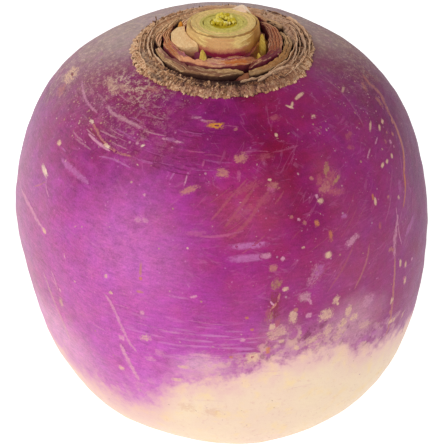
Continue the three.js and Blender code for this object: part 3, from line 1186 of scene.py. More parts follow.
@dataclass(frozen=True)
class CorkFinish:
    """The corky collar: pale radial ridges over grey-brown cork, with painted shade darkening its cracks."""

    crack: str = "#452723"
    tones: Tones = (
        (0.08, "#4e332c"),
        (0.22, "#7d5a48"),
        (0.38, "#ae7c5a"),
        (0.56, "#d29a6e"),
        (0.78, "#f2c8a0"),
    )
    stains: tuple[Stain, ...] = ()

    def build(self, groups: SharedGroups) -> Material:
        """Builds the material.

        Args:
            groups: the shared groups.

        Returns:
            The material.
        """
        material, g, shader = new_material("cork", DRY_SHEEN, 0.85)
        place = g.group(groups.crown)
        values = {"Point": place["Point"], "Radius": place["Radius"]}
        rays = g.group(groups.streaks, Round=2.6, Outwards=0.5, **values)
        rings = g.group(groups.streaks, Round=0.2, Outwards=1.5, **values)
        small = g.noise(place["Point"], 1.2, 4.0, 0.7)
        grain = g.noise(place["Point"], 3.6, 4.0, 0.7)
        uneven = g.add(g.sub(g.mul(rays["Fine"], 0.5), 0.25), g.sub(g.mul(grain, 0.6), 0.3))
        tone = g.add(g.attribute("flake_tone_and_painted_light"), g.mul(uneven, 1.5))
        colour = g.stops(tone, self.tones)
        colour = g.mix(g.mul(g.ramp(small, 0.42, 0.66), 0.35), colour, tint("#8a6e60"))
        wander = g.add(place["Radius"], g.uneven(small, 2.2))
        groove = g.mul(g.ramp(wander, 17.0, 17.35), g.ramp(wander, 17.8, 17.45))
        colour = g.mix(g.mul(groove, 0.4), colour, tint(self.crack))
        ragged = g.uneven(g.add(g.mul(rings["Streak"], 0.5), g.mul(small, 0.5)), 2.6)
        colour = stained(g, groups, place, colour, self.stains, ragged)
        # Painted shade: dark where the relief sinks into cracks and where the tone is lowest.
        crack = g.math("MAXIMUM", g.ramp(tone, 0.14, 0.02), g.ramp(g.attribute("relief"), -0.5, -1.1))
        g.feed(shader["Base Color"], g.mix(g.mul(crack, 0.8), colour, tint(self.crack)))
        height = g.add(g.mul(rays["Streak"], 0.6), g.mul(grain, 0.4))
        g.feed(shader["Normal"], g.bump(height, 0.45 * MM, 0.9))
        return material


def tube_of_loops(name: str, loops: Array, attributes: dict[str, Array] | None = None) -> Obj:
    """Skins closed loops that follow one another round a ring, so that the last meets the first.

    Args:
        name: the object's name.
        loops: an array of loops by points by x, y, z, in millimetres.
        attributes: numbers for each point of the loops.

    Returns:
        A closed ring whose faces look outwards.
    """
    rows, cols, _ = loops.shape
    points = loops.reshape(-1, 3)
    i = np.arange(rows)[:, None]
    j = np.arange(cols)[None, :]
    a, b = i * cols + j, i * cols + (j + 1) % cols
    c, d = (i + 1) % rows * cols + (j + 1) % cols, (i + 1) % rows * cols + j
    quads = np.stack([a, b, c, d], -1).reshape(-1, 4)
    if signed_volume(points, quads) < 0:
        quads = quads[:, ::-1]
    full = {key: values.reshape(rows * cols) for key, values in (attributes or {}).items()}
    return make_object(name, points, quads.tolist(), full)


def round_trip(azimuth: Array, radius: Array | float) -> Array:
    """Gives points on a circle, as places in which a Ripple repeats after a full turn.

    Args:
        azimuth: degrees from the front.
        radius: in millimetres.

    Returns:
        Points as x, y, z in millimetres.
    """
    turn = np.radians(azimuth)
    radius = radius + 0 * turn
    return np.stack([radius * np.sin(turn), -radius * np.cos(turn), 0 * turn], -1)


def with_radius(where: Array, radius: Array) -> Array:
    """Gives places for a Ripple that repeats after a full turn and also varies with the radius."""
    return np.stack([where[:, None, 0] + 0 * radius, where[:, None, 1] + 0 * radius, radius], -1)


@dataclass(frozen=True)
class Flakes:
    """Small flakes set side by side round the crown, each with a height and a tone of its own."""

    around: int
    long: float
    seed: int

    def at(self, azimuth: Array, radius: Array) -> tuple[Array, Array]:
        """Gives the flakes' relief and tone.

        Args:
            azimuth: degrees round the crown.
            radius: millimetres from the crown's middle, of the same shape.

        Returns:
            The relief, about -1 to 1 with low joints, and the tone, 0 to 1, darkened towards the low joints
            as painted shade.
        """
        rng = np.random.default_rng(self.seed)
        heights, tones = rng.uniform(0, 1, (2, self.around, 64))
        starts = rng.uniform(0, 1, self.around)
        bend = Ripple(2.2, self.seed + 1, 30).at(round_trip(azimuth, radius))
        slide = azimuth / 360 * self.around + 0.8 * bend
        column = np.floor(slide)
        lane = column.astype(int) % self.around
        level = radius / self.long + starts[lane]
        row = np.floor(level)
        rank = row.astype(int) % 64
        u, v = slide - column, level - row
        dome = np.sqrt(np.clip(4 * u * (1 - u), 0, 1)) * np.sqrt(np.clip(4 * v * (1 - v), 0, 1))
        rise = 0.9 * (2 * heights[lane, rank] - 1) + 1.1 * (dome - 0.75)
        # Painted shade: the tone darkens towards the edges, where the joints between them sink.
        return rise, tones[lane, rank] * (0.35 + 0.65 * dome)


@dataclass
class CorkCollar:
    """The corky ring round the crown: ragged outside, ridged across, with a step down to the leaf bases."""

    columns: int = 1300
    rows: int = 40
    edge: float = 19.1
    lip: float = 17.8
    inner: float = 14.45
    height: float = 1.2
    foot: float = 0.25

    def edge_at(self, azimuth: Array) -> Array:
        """Gives the radius of the ragged outer edge.

        Args:
            azimuth: degrees from the front.

        Returns:
            Radii in millimetres.
        """
        where = round_trip(azimuth, self.edge)
        coarse = Ripple(14, 11).at(where)
        fine = Ripple(1.9, 12).at(where)
        teeth, _ = Flakes(210, 40.0, 13).at(azimuth, np.full_like(azimuth, self.edge))
        return self.edge + 0.35 * coarse + 0.22 * fine + 0.3 * teeth

    @staticmethod
    def skin_rise(radius: Array) -> Array:
        """Gives how high the root's skin lies under some radii, counted from the collar's rim."""
        heights = [FORM.height_at(float(r), FORM.shoulder) for r in radius.ravel()]
        return np.array(heights).reshape(radius.shape) - FORM.crown_height

    def build(self) -> Obj:
        """Builds the collar.

        Returns:
            The new object.
        """
        azimuth = all_round(self.columns)
        edge = self.edge_at(azimuth)[:, None]
        share = np.linspace(0, 1, self.rows)[None, :]
        across = self.inner + 0.15 + (edge - 0.25 - self.inner - 0.15) * share
        where = with_radius(round_trip(azimuth, 16.0), across)
        ridges = Ripple(0.85, 21, 40, (1, 1, 5)).at(where)
        steps = Ripple(2.3, 22, 30, (4, 4, 1)).at(where)
        lumps = Ripple(3.2, 23, 30).at(where)
        fissure = -smooth(0.72, 1.0, np.abs(Ripple(5.0, 24, 30, (5, 5, 1)).at(where)))
        turned = azimuth[:, None] + 0 * across
        small, small_tone = Flakes(330, 0.8, 26).at(turned, across)
        large, large_tone = Flakes(170, 1.5, 28).at(turned, across)
        relief = 0.3 * ridges + 0.3 * steps + 0.3 * lumps + 0.9 * fissure + 0.45 * small + 0.35 * large
        tone = 0.62 * small_tone + 0.38 * large_tone + 0.1 * ridges + 0.08 * lumps
        # Painted shade: darker towards the inner step down; lighter towards the outer edge.
        tone = tone + 0.16 * smooth(16.6, 18.4, across) - 0.2 * (1 - smooth(14.9, 16.4, across))
        away = (turned + 180) % 360 - 180
        # Painted light, here and on the next line: lighter towards the sides and the back, to offset the
        # shade in the collar's grooves.
        tone = tone - 0.01 + 0.17 * smooth(30, 75, np.abs(away)) + 0.06 * smooth(-30, -60, away)
        tone = tone + 0.16 * smooth(75, 120, np.abs(away))
        outside = smooth(self.lip - 1.2, self.edge, across)
        top = self.height * (1 - outside**1.3) + (self.skin_rise(across) + 0.25) * outside**1.3
        fade = smooth(0.0, 0.1, share) * (0.35 + 0.65 * (1 - outside))
        top = top + 0.30 * relief * fade - 0.25 * (1 - smooth(0, 0.12, share))
        edge_skin = self.skin_rise(edge)
        surface = FORM.on_crown(azimuth[:, None], across, top)
        below = ((edge, edge_skin - 0.05), (edge - 0.6, edge_skin - 0.5), (17.0, -0.6), (self.inner, -0.4))
        below += ((self.inner, self.foot + 0.3),)
        loops = np.concatenate([surface] + [FORM.on_crown(azimuth[:, None], r, h) for r, h in below], 1)
        zero = np.zeros((self.columns, 5))
        loose = smooth(15.0, 16.5, across) * (0.35 + 0.65 * smooth(-0.2, 0.6, Ripple(4.0, 25).at(where)))
        loose = np.maximum(loose, smooth(17.3, 18.3, across))
        numbers = {"relief": relief * fade, "freckled": loose, "flake_tone_and_painted_light": tone}
        numbers = {key: np.concatenate([values, zero], 1) for key, values in numbers.items()}
        numbers["flake_tone_and_painted_light"][:, self.rows :] = numbers["flake_tone_and_painted_light"][:, self.rows - 1 : self.rows]
        return tube_of_loops("cork_collar", loops, numbers)


@dataclass
class CrownStem:
    """The stem's ledge between the collar and the neck, and the core that carries the neck."""

    columns: int = 240
    ledge: float = 0.3
    core_radius: float = 8.45
    core_height: float = 2.4
    mounds: Fives = (
        (74, 8.9, 26, 1.1, 2.3),
        (-30, 8.9, 12, 1.0, 1.6),
        (-120, 9.6, 20, 1.4, 1.6),
        (20, 13.1, 10, 1.0, 0.9),
    )

    def build(self) -> Obj:
        """Builds the stem.

        Returns:
            The new object.
        """
        core, ledge, top = self.core_radius, self.ledge, self.core_height
        wall = [(core + 0.35 * (1 - t) ** 2, ledge + t * (top - ledge - 0.15)) for t in np.linspace(0, 1, 12)]
        profile = [(0.5, -1.0), (15.0, -1.0), (15.0, ledge - 0.1), (14.2, ledge)]
        profile += [(r, ledge) for r in np.linspace(13.5, 9.2, 30)] + wall
        rows = np.array(profile + [(r, top) for r in (core - 0.2, 6.0, 2.0, 0.5)])
        azimuth = all_round(self.columns)
        points = FORM.on_crown(azimuth[None, :], rows[:, 0, None], rows[:, 1, None])
        lumps = Ripple(1.6, 31).at(points) * 0.12
        above, within = smooth(-0.5, 0.2, rows[:, 1]), smooth(15.0, 14.0, rows[:, 0])
        points[..., 2] += lumps * above[:, None] * within[:, None]
        for middle, away, half_turn, half_width, tall in self.mounds:
            turn = ((azimuth - middle + 180) % 360 - 180) / half_turn
            bump = np.exp(-(turn[None, :] ** 2) - ((rows[:, 0, None] - away) / half_width) ** 2)
            points[..., 2] += tall * bump * smooth(0.0, 0.3, rows[:, 1])[:, None] * (1 + 2.0 * lumps)
        return solid_of_rings("crown_stem", points)


def cut_section(lip: float, up: int, corner: Knots, flat: float, top: int, down: int) -> Array:
    """Gives the cross-section of a cut wall, from its outer foot over the top to its inner foot.

    Args:
        lip: the height of its rounded corners, as a share of its own.
        up: points up its outer side.
        corner: the points of its outer corner.
        flat: half the width of its top, as a share of its own.
        top: points across its top.
        down: points down its inner side.

    Returns:
        Points as (across from 1 to -1, up from 0 to 1).
    """
    outer = [(1.0, h) for h in np.linspace(0, 1 - lip, up)] + list(corner)
    across = [(x, 1.0) for x in np.linspace(flat, -flat, top)] + [(-x, h) for x, h in reversed(corner)]
    return np.array(outer + across + [(-1.0, h) for h in np.linspace(1 - lip, 0, down)])


@dataclass
class LeafBase:
    """A crescent of leaf stalk that stands on the ledge, cut or broken off above it."""

    name: str
    outer: Knots
    inner: Knots
    top: float
    seed: int
    foot: float = 0.2
    fall: float = 0.3
    lip: float = 0.14
    steps: int = 140
    ragged: float = 0.08
    sheets: int = 2
    valley: float = 0.34
    step: float = 0.22
    blunt: int = 8
    spread: float = 0.05
    waver: float = 1.0

    def build(self) -> Obj:
        """Builds the crescent as loops of its cross-section from end to end.

        Returns:
            The new object.
        """
        outer, inner = spline(self.outer, self.steps), spline(self.inner, self.steps)
        share = np.linspace(0, 1, self.steps)
        ends = np.sqrt(np.clip(1 - (2 * share - 1) ** self.blunt, 0.0016, 1))
        middle_turn, middle_away = (outer[:, 0] + inner[:, 0]) / 2, (outer[:, 1] + inner[:, 1]) / 2
        where = round_trip(middle_turn, 12.0)
        sway = 0.16 * Ripple(5.0, self.seed).at(where) + 0.05 * Ripple(1.4, self.seed + 5).at(where)
        sway = sway * self.waver
        half = ((outer[:, 1] - inner[:, 1]) / 2 + self.spread) * ends
        half = half * (1 + 0.14 * self.waver * Ripple(3.0, self.seed + 1).at(where))
        section = self.section()
        across = middle_away[:, None] + sway[:, None] + half[:, None] * section[None, :, 0]
        tall = (self.top - self.foot) * (0.6 + 0.4 * ends)
        rise = self.foot + tall[:, None] * section[None, :, 1]
        crest = smooth(0.6, 1.0, section[None, :, 1])
        away = np.maximum(0, across - inner[:, None, 1])
        around = with_radius(where, across)
        rough = Ripple(0.8, self.seed + 2, 40, (2, 2, 1)).at(around)
        sag = Ripple(6.0, self.seed + 3).at(around)
        phase = 0.8 * Ripple(11.0, self.seed + 4).at(where) + 0.12 * Ripple(1.6, self.seed + 6).at(where)
        level = (section[None, :, 0] + 1) / 2 * self.sheets + phase[:, None]
        part = level % 1
        sunk = smooth(0.60, 0.98, np.abs(2 * part - 1)) * (self.sheets > 1)
        rise = rise + crest * (self.ragged * rough + 0.12 * self.waver * sag - self.fall * away)
        rise = rise + crest * (self.sheets > 1) * (self.step * (0.5 - part) - self.valley * sunk)
        points = FORM.on_crown(middle_turn[:, None], across, rise)
        tones = np.random.default_rng(self.seed).uniform(0, 1, 16)
        numbers = {
            "lift": np.broadcast_to(section[None, :, 1], across.shape),
            "layer": 1 - sunk * crest,
            "sheet": tones[np.floor(level).astype(int) % 16],
        }
        return solid_of_rings(self.name, points, numbers)

    def section(self) -> Array:
        """Gives the crescent's cross-section.

        Returns:
            Points as (across from 1 to -1, up from 0 to 1).
        """
        lip = min(self.lip / max(self.top - self.foot, 0.5), 0.4)
        corner = ((0.99, 1 - lip / 2), (0.96, 1.0))
        return cut_section(lip, 6, corner, 0.93, 31, 6)


@dataclass
class Sheath:
    """A leaf sheath round the heart, cut across: a ring, slightly three-cornered, flared at its foot."""

    name: str
    inner: float
    outer: float
    top: float
    tilt: float
    seed: int
    flare: float = 1.0
    torn: float = 0.0
    foot: float = 2.3
    cornering: float = 0.02
    tongue: float = 147.0
    tongue_width: float = 13.0
    columns: int = 300
    dish: float = 0.1

    def build(self) -> Obj:
        """Builds the ring.

        Returns:
            The new object.
        """
        azimuth = all_round(self.columns)
        corner = 1 + self.cornering * np.cos(np.radians(3 * azimuth - 30))
        where = round_trip(azimuth, (self.inner + self.outer) / 2)
        wobble = 0.07 * Ripple(4.0, self.seed).at(where)
        section = self.section()
        middle, half = (self.inner + self.outer) / 2, (self.outer - self.inner) / 2 + 0.06
        across = (middle + wobble)[:, None] + half * section[None, :, 0]
        share = section[None, :, 1]
        outside = section[None, :, 0] > 0
        flare = 1 + (self.flare - 1) * outside * (1 - share) ** 1.4
        away = across * corner[:, None] * flare
        tall = self.top - self.foot
        turn = np.radians(azimuth)
        tilt = self.tilt * (-np.cos(turn))[:, None] * away
        tongue = self.torn * np.exp(-(((azimuth - self.tongue) / self.tongue_width) ** 2))
        around = with_radius(where, away)
        rough = Ripple(0.9, self.seed + 2, 30).at(around)
        rings = Ripple(0.5, self.seed + 3, 30, (9, 9, 1)).at(around)
        crest = smooth(0.7, 1.0, share)
        rise = self.foot + tall * share + crest * (tilt + tongue[:, None] + 0.05 * rough + 0.06 * rings)
        rise = rise - self.dish * crest * (1 - section[None, :, 0] ** 2)
        points = FORM.on_crown(azimuth[:, None], away, rise)
        lift, over = (np.broadcast_to(values, away.shape) for values in (share, section[None, :, 0]))
        return tube_of_loops(self.name, points, {"lift": lift, "across": over})

    @staticmethod
    def section(lip: float = 0.05) -> Array:
        """Gives the ring's cross-section.

        Args:
            lip: the height of its rounded corners, as a share of its own.

        Returns:
            Points as (across from 1 to -1, up from 0 to 1).
        """
        angles = np.linspace(0.4, math.pi / 2, 4)
        corner = tuple((1 - 0.1 * (1 - math.cos(a)), 1 - lip + lip * math.sin(a)) for a in angles)
        return cut_section(lip, 12, corner, 0.8, 25, 8)


@dataclass
class HeartBud:
    """The growing point in the middle of the neck: a green cup with a cluster of florets at its back."""

    radius: float = 2.85
    foot: float = 2.3
    rim: float = 6.15
    pit: float = 5.6
    columns: int = 96
    florets: int = 54
    floret_top: float = 7.7

    def build_florets(self) -> Obj:
        """Builds the cluster of unopened florets.

        Returns:
            The new object.
        """
        rng = np.random.default_rng(SEED + 3)
        turn = np.linspace(0, 2 * math.pi, 9)[:-1]
        made = []
        for _ in range(self.florets):
            azimuth, away = rng.uniform(96, 266), 2.6 * math.sqrt(rng.uniform(0.0, 1))
            size = rng.uniform(0.26, 0.52)
            back = -away * math.cos(math.radians(azimuth)) / 2.6
            top = self.rim + (self.floret_top - self.rim) * rng.uniform(0.4, 1) * (0.25 + 0.9 * back)
            middle = FORM.on_crown(np.array(azimuth), np.array(away), np.array(top - size))
            profile = [(0.35, -1.6), (0.6, -0.9), (1.0, -0.25), (0.95, 0.3), (0.55, 0.85), (0.15, 1.0)]
            lean = rng.normal(0, 0.3, 2)
            r, h = np.array(profile).T[..., None]
            x, y = r * np.cos(turn) + h * lean[0], r * np.sin(turn) + h * lean[1]
            rows = middle + size * np.stack([x, y, h + 0 * turn], -1)
            made.append(skin_rings(rows, {"shade": np.full((len(rows), 8), rng.uniform(0, 1))}))
        return joined("heart_florets", made)

    def build_cup(self) -> Obj:
        """Builds the cup.

        Returns:
            The new object.
        """
        r, top, pit = self.radius, self.rim, self.pit
        rim = [(r, top - 0.25), (r - 0.08, top - 0.06), (r - 0.25, top)]
        rim += [(r - 0.45, top - 0.08), (r - 0.6, top - 0.35)]
        inside = [(r - 0.75, pit + 0.15), (1.4, pit), (0.7, pit - 0.05), (0.2, pit - 0.05)]
        rows = np.array([(0.3, self.foot), (r, self.foot), *rim, *inside])
        azimuth = all_round(self.columns)
        points = FORM.on_crown(azimuth[None, :], rows[:, 0, None], rows[:, 1, None])
        points[..., 2] += 0.12 * Ripple(1.1, 41).at(points) * smooth(self.foot, pit, rows[:, 1])[:, None]
        return solid_of_rings("heart_bud", points)


@dataclass
class SideBud:
    """A small pointed shoot in the axil of a leaf base, with a leaflet folded round it."""

    name: str
    azimuth: float
    away: float
    width: float
    tall: float
    seed: int
    foot: float = 0.25
    columns: int = 40
    lean: float = 0.25

    def build(self) -> Obj:
        """Builds the shoot.

        Returns:
            The new object.
        """
        share = np.linspace(0.02, 1, 26)
        halves = [0.5, 0.55, 0.5, 0.38, 0.27, 0.12]
        wide = np.interp(share, [0, 0.15, 0.4, 0.7, 0.9, 1.0], halves) * self.width
        turn = np.linspace(0, 2 * math.pi, self.columns, endpoint=False)
        ribs = 1 + 0.16 * np.cos(2 * turn[None, :] + 2.4 * share[:, None])
        ribs = ribs + 0.07 * np.cos(5 * turn[None, :] + self.seed)
        radius = wide[:, None] * ribs
        middle = FORM.on_crown(np.array(self.azimuth), np.array(self.away), np.array(self.foot))
        rise = share[:, None] * self.tall
        sway = self.lean * share[:, None] ** 2 * self.width
        x = middle[0] + radius * np.cos(turn)[None, :] + sway * math.cos(self.seed)
        y = middle[1] + radius * np.sin(turn)[None, :] + sway * math.sin(self.seed)
        points = np.stack([x, y, middle[2] + rise + 0 * x], -1)
        return solid_of_rings(self.name, points, {"lift": np.broadcast_to(share[:, None], x.shape)})


PURPLE_LEFT = Stain(-52, 12.9, 30, 0.8, "#6a2440", 0.8)
CORK = CorkFinish(
    stains=(
        # The near-black stains at azimuth 10, radius 15.2 and 15.9, are a painted shadow in the crevice
        # inside the collar's front.
        Stain(-48, 18.3, 8, 0.5, "#5e4a44", 0.7), Stain(10, 15.2, 30, 0.8, "#2c1616", 0.9),
        Stain(10, 15.9, 12, 0.9, "#2c1616", 0.8), Stain(44, 18.2, 20, 0.9, "#7c4c3c", 0.6),
        Stain(0, 18.2, 34, 1.1, "#8a564c", 0.5), Stain(-20, 15.6, 16, 0.6, "#7c5240", 0.5),
        Stain(-85, 16.6, 32, 0.9, "#8c7468", 0.6), Stain(70, 15.6, 34, 1.4, "#8a6452", 0.5),
        Stain(-135, 16.4, 40, 2.2, "#e2b48a", 0.65), Stain(-168, 17.6, 22, 2.6, "#e6be96", 0.6),
        Stain(125, 16.6, 40, 2.2, "#d8b096", 0.6), Stain(30, 16.6, 14, 0.7, "#7a4426", 0.6),
    ),
)
RIPE = CutTissue(
    "leaf_base", face="#d09a72", face_dark="#b4683a", streak="#8c2c44", foot="#4a1222", foot_from=0.8,
    foot_to=2.0, streak_share=0.6, outwards=3.4, wall="#6a1a34", crest="#e8bc90",
    sheets=((0.0, "#e4b090"), (0.3, "#c8824e"), (0.55, "#94503a"), (0.75, "#b86848"), (1.0, "#dcae78")),
    stains=(
        Stain(54, 11.9, 18, 1.3, "#701838", 0.9), Stain(27, 12.1, 8, 0.6, "#6a2020", 0.9),
        Stain(-40, 11.7, 24, 0.7, "#e09c70", 0.8), Stain(-52, 11.2, 20, 0.35, "#8a3058", 0.8),
        Stain(-5, 10.6, 12, 1.2, "#dca88a", 0.6), Stain(14, 10.5, 16, 0.8, "#bd6424", 0.85),
        Stain(4, 9.5, 22, 0.3, "#8e2c56", 0.75), Stain(-2, 11.2, 12, 0.25, "#9c3c50", 0.6),
        Stain(-62, 11.9, 12, 0.6, "#a86234", 0.7), Stain(-80, 11.8, 20, 0.8, "#b0602f", 0.8),
        Stain(-36, 10.6, 12, 0.6, "#c07890", 0.75), Stain(138, 10.9, 12, 0.7, "#4c1a34", 0.9),
        Stain(88, 11.2, 30, 0.9, "#b8663c", 0.7), Stain(-150, 11.4, 44, 1.8, "#ecc094", 0.9),
        Stain(-100, 11.6, 18, 0.9, "#d09868", 0.7),
    ),
)
OLD = CutTissue(
    "old_leaf_base", face="#cba06c", face_dark="#a0764c", streak="#e2bd8a", foot="#301416", foot_from=0.6,
    foot_to=1.6, streak_share=0.45, outwards=3.4, roughness=0.7, wall="#4a2c24", wall_from=0.84,
    wall_to=0.6, crest="#dcb588",
    sheets=((0.0, "#d2a878"), (0.3, "#8a6446"), (0.5, "#b8905e"), (0.7, "#6e5040"), (1.0, "#c0a878")),
    stains=(
        PURPLE_LEFT, Stain(-88, 13.4, 16, 1.2, "#cf9c80", 0.75), Stain(-10, 13.4, 30, 0.5, "#5e3a26", 0.7),
        Stain(-30, 13.3, 30, 1.2, "#84503e", 0.6), Stain(-116, 13.5, 34, 1.2, "#dca47c", 0.85),
        Stain(160, 13.5, 70, 1.2, "#dcb088", 0.75), Stain(-160, 13.5, 50, 1.2, "#e8c092", 0.85),
        Stain(56, 13.4, 26, 1.0, "#ae7038", 0.65),
    ),
)
DRY = CutTissue(
    "dry_scale", face="#dcb08a", face_dark="#b0886a", streak="#f0cca6", foot="#6c4c3e", foot_from=0.8,
    foot_to=1.3, streak_share=0.45, roughness=0.85, wall="#906c58", wall_from=0.6, wall_to=0.4,
    crest="#ecc8a2", sheets=((0.0, "#f0cca8"), (0.4, "#c49c80"), (0.7, "#e4b288"), (1.0, "#b09080")),
)
CREAM = CutTissue(
    "cream_cut", face="#eecb82", face_dark="#d8b168", streak="#f3d9a0", foot="#92203e", foot_from=3.2,
    foot_to=3.9, streak_share=0.35, low="#c4745a", low_from=3.9, low_to=4.7, round_scale=0.16, outwards=5.0,
    relief=0.08,
    stains=(
        Stain(0, 4.4, 400, 0.55, "#cdbd60", 0.85), Stain(0, 6.8, 400, 0.12, "#8c6038", 0.75),
        Stain(-10, 6.1, 60, 0.4, "#d2c070", 0.5), Stain(147, 7.2, 16, 0.8, "#f2d8c2", 0.9),
        Stain(66, 7.4, 9, 0.7, "#7a421c", 0.95), Stain(-6, 7.5, 22, 0.5, "#d08e62", 0.6),
    ),
    stains_at_foot=(Stain(74, 7.6, 34, 1.2, "#b87f38", 0.85), Stain(-70, 7.6, 30, 1.2, "#a87448", 0.4)),
)
STALK = CutTissue(
    "cream_stalk", face="#edc690", face_dark="#ddae7a", streak="#f3d6a4", foot="#8a2a40", foot_from=1.4,
    foot_to=2.6, streak_share=0.3, round_scale=0.25, relief=0.06, wall="#b8785c", wall_from=0.9,
    wall_to=0.55, crest="#f3d6a4",
)
GREEN = CutTissue(
    "green_cut", face="#dccb6a", face_dark="#c2b04e", streak="#e8db90", foot="#8a8020", foot_from=3.0,
    foot_to=4.8, streak_share=0.35, round_scale=0.2, outwards=5.0, relief=0.08,
)
BUD = CutTissue(
    "fresh_bud", face="#cdb424", face_dark="#aa9316", streak="#ddca4e", foot="#6a5412", foot_from=0.4,
    foot_to=1.6, streak_share=0.4, relief=0.08,
)
SHOOT = CutTissue(
    "side_shoot", face="#cdaa48", face_dark="#a88426", streak="#e0c878", foot="#96642c", foot_from=1.2,
    foot_to=3.4, streak_share=0.4, relief=0.06, stains=(Stain(-112, 9.6, 20, 3.0, "#cf8428", 0.9),),
)
STEM = CutTissue(
    "crown_stem", face="#84283c", face_dark="#4c1524", streak="#a04a48", foot="#3a1216", foot_from=0.2,
    foot_to=1.4, streak_share=0.4,
    stains_at_foot=(
        Stain(72, 9.2, 30, 1.6, "#a8702e", 0.9), Stain(-40, 9.2, 14, 1.2, "#a04a64", 0.7),
        Stain(20, 13.1, 9, 1.4, "#9a6240", 0.85),
    ),
)

STALKS = (
    LeafBase(
        "cut_stalk_left", ((-110, 9.3), (-92, 10.6), (-74, 10.7), (-56, 9.9), (-40, 8.0)),
        ((-108, 8.5), (-90, 7.8), (-60, 7.5), (-42, 7.5)), 4.6, 101, ragged=0.02, sheets=1, lip=0.06,
        blunt=12, waver=0.3,
    ),
    LeafBase(
        "cut_stalk_back", ((128, 9.7), (150, 10.5), (175, 10.6), (198, 9.8)),
        ((130, 8.7), (160, 8.2), (196, 8.7)), 4.3, 111, ragged=0.03, sheets=1, lip=0.08, waver=0.4,
    ),
)
LEAF_BASES = (
    LeafBase(
        "leaf_base_front", ((-124, 12.5), (-90, 12.4), (-60, 12.3), (-30, 12.0), (5, 11.7), (42, 11.0)),
        (
            (-122, 11.75), (-90, 11.2), (-70, 11.1), (-44, 10.5), (-31, 10.6), (-24, 11.4), (-21, 11.4),
            (-14, 10.2), (-8, 9.2), (0, 9.0), (20, 9.0), (40, 9.5),
        ),
        3.4, 121, steps=300, sheets=3,
    ),
    LeafBase(
        "leaf_base_right", ((24, 12.5), (60, 12.6), (100, 12.1), (136, 11.2)),
        ((26, 11.6), (52, 11.5), (64, 10.8), (78, 9.6), (95, 9.1), (108, 9.3), (120, 10.0), (134, 10.3)),
        3.3, 131, steps=260, sheets=4,
    ),
    LeafBase(
        "leaf_base_back", ((130, 12.7), (165, 12.6), (205, 12.2), (238, 11.4)),
        ((132, 11.6), (165, 11.0), (196, 10.4), (212, 9.3), (236, 9.5)), 3.3, 141, steps=220, sheets=3,
    ),
)
OLD_LEAF_BASES = (
    LeafBase(
        "old_leaf_base_front", ((-78, 14.1), (-45, 14.2), (-10, 13.9), (20, 13.0)),
        ((-76, 13.2), (-60, 12.7), (-30, 12.35), (0, 12.1), (18, 12.0)), 2.3, 151, fall=0.25, ragged=0.12,
        blunt=5,
    ),
    LeafBase(
        "old_leaf_base_right", ((22, 14.2), (60, 14.2), (90, 14.0), (114, 13.2)),
        ((22, 13.35), (40, 12.95), (75, 12.75), (100, 12.45), (112, 12.35)), 2.2, 161, fall=0.25,
        ragged=0.12, blunt=5,
    ),
    LeafBase(
        "old_leaf_base_back", ((118, 14.2), (155, 14.2), (190, 14.0), (214, 13.2)),
        ((119, 13.3), (135, 13.0), (165, 12.95), (195, 12.65), (212, 12.45)), 2.1, 171, fall=0.25,
        ragged=0.12, blunt=5,
    ),
    LeafBase(
        "old_leaf_base_left", ((222, 14.2), (245, 14.2), (262, 14.1), (277, 13.5)),
        ((222, 13.2), (236, 12.85), (262, 12.75), (275, 12.8)), 2.2, 181, fall=0.25, ragged=0.12, blunt=5,
    ),
)


def dry_scale(
    name: str,
    start: float,
    end: float,
    radius: float,
    tip: float,
    top: float,
    seed: int,
    thick: float = 0.5,
    steps: int = 140,
) -> LeafBase:
    """Describes a thin dry scale that stands on the cork.

    Args:
        name: the node's name.
        start: azimuth where it begins.
        end: azimuth where it ends.
        radius: inner radius at its middle.
        tip: inner radius at its ends.
        top: height of its edge.
        seed: seed of its unevenness.
        thick: its thickness.
        steps: how many cross-sections it has.

    Returns:
        The scale.
    """
    middle = (start + end) / 2
    outer = ((start, tip + thick), (middle, radius + thick), (end, tip + thick))
    inner = ((start + 1, tip), (middle, radius), (end - 1, tip))
    scale = LeafBase(name, outer, inner, top, seed, foot=0.7, fall=0.2, lip=0.1, steps=steps)
    return replace(scale, ragged=0.2, sheets=1, blunt=4, spread=-0.08)


DRY_SCALES = (
    dry_scale("dry_scale_right_inner", 62, 118, 15.1, 15.4, 2.2, 191),
    dry_scale("dry_scale_right_middle", 68, 126, 16.3, 16.5, 2.1, 201),
    dry_scale("dry_scale_right_outer", 76, 132, 17.5, 17.6, 1.9, 211),
    dry_scale("dry_scale_front", 24, 58, 15.0, 16.0, 1.9, 221),
    dry_scale("dry_scale_back", 148, 204, 15.3, 15.7, 2.0, 231),
    dry_scale("dry_scale_left", -118, -66, 15.2, 15.6, 2.0, 241),
)
CORK_CRESTS = (
    (36, 104, 14.55, 1.95), (56, 122, 15.75, 1.85), (64, 116, 16.85, 1.7), (44, 84, 17.2, 1.45),
    (84, 150, 18.1, 1.2), (-58, -28, 15.9, 1.3), (-100, -52, 14.7, 1.8), (-124, -76, 16.2, 1.65),
    (-112, -58, 17.1, 1.45), (-160, -112, 15.4, 1.8), (-176, -128, 16.8, 1.5), (150, 196, 16.6, 1.6),
    (12, 44, 15.2, 1.5),
)
SHEATHS = (
    Sheath("sheath_outer", 6.85, 7.3, 6.2, -0.05, 251, flare=1.06, torn=1.3, dish=0.05),
    Sheath("sheath_middle", 4.2, 6.7, 6.5, -0.06, 261),
    Sheath("sheath_inner", 2.9, 4.05, 6.4, -0.06, 271),
)
SIDE_BUDS = (
    SideBud("side_bud_front", -22.5, 10.55, 1.8, 4.9, 2),
    SideBud("side_bud_right", 41, 11.2, 1.1, 3.7, 3),
    SideBud("side_bud_neck", 62, 9.1, 1.4, 5.9, 4),
    SideBud("side_bud_left", -112, 9.6, 1.5, 4.6, 5),
)


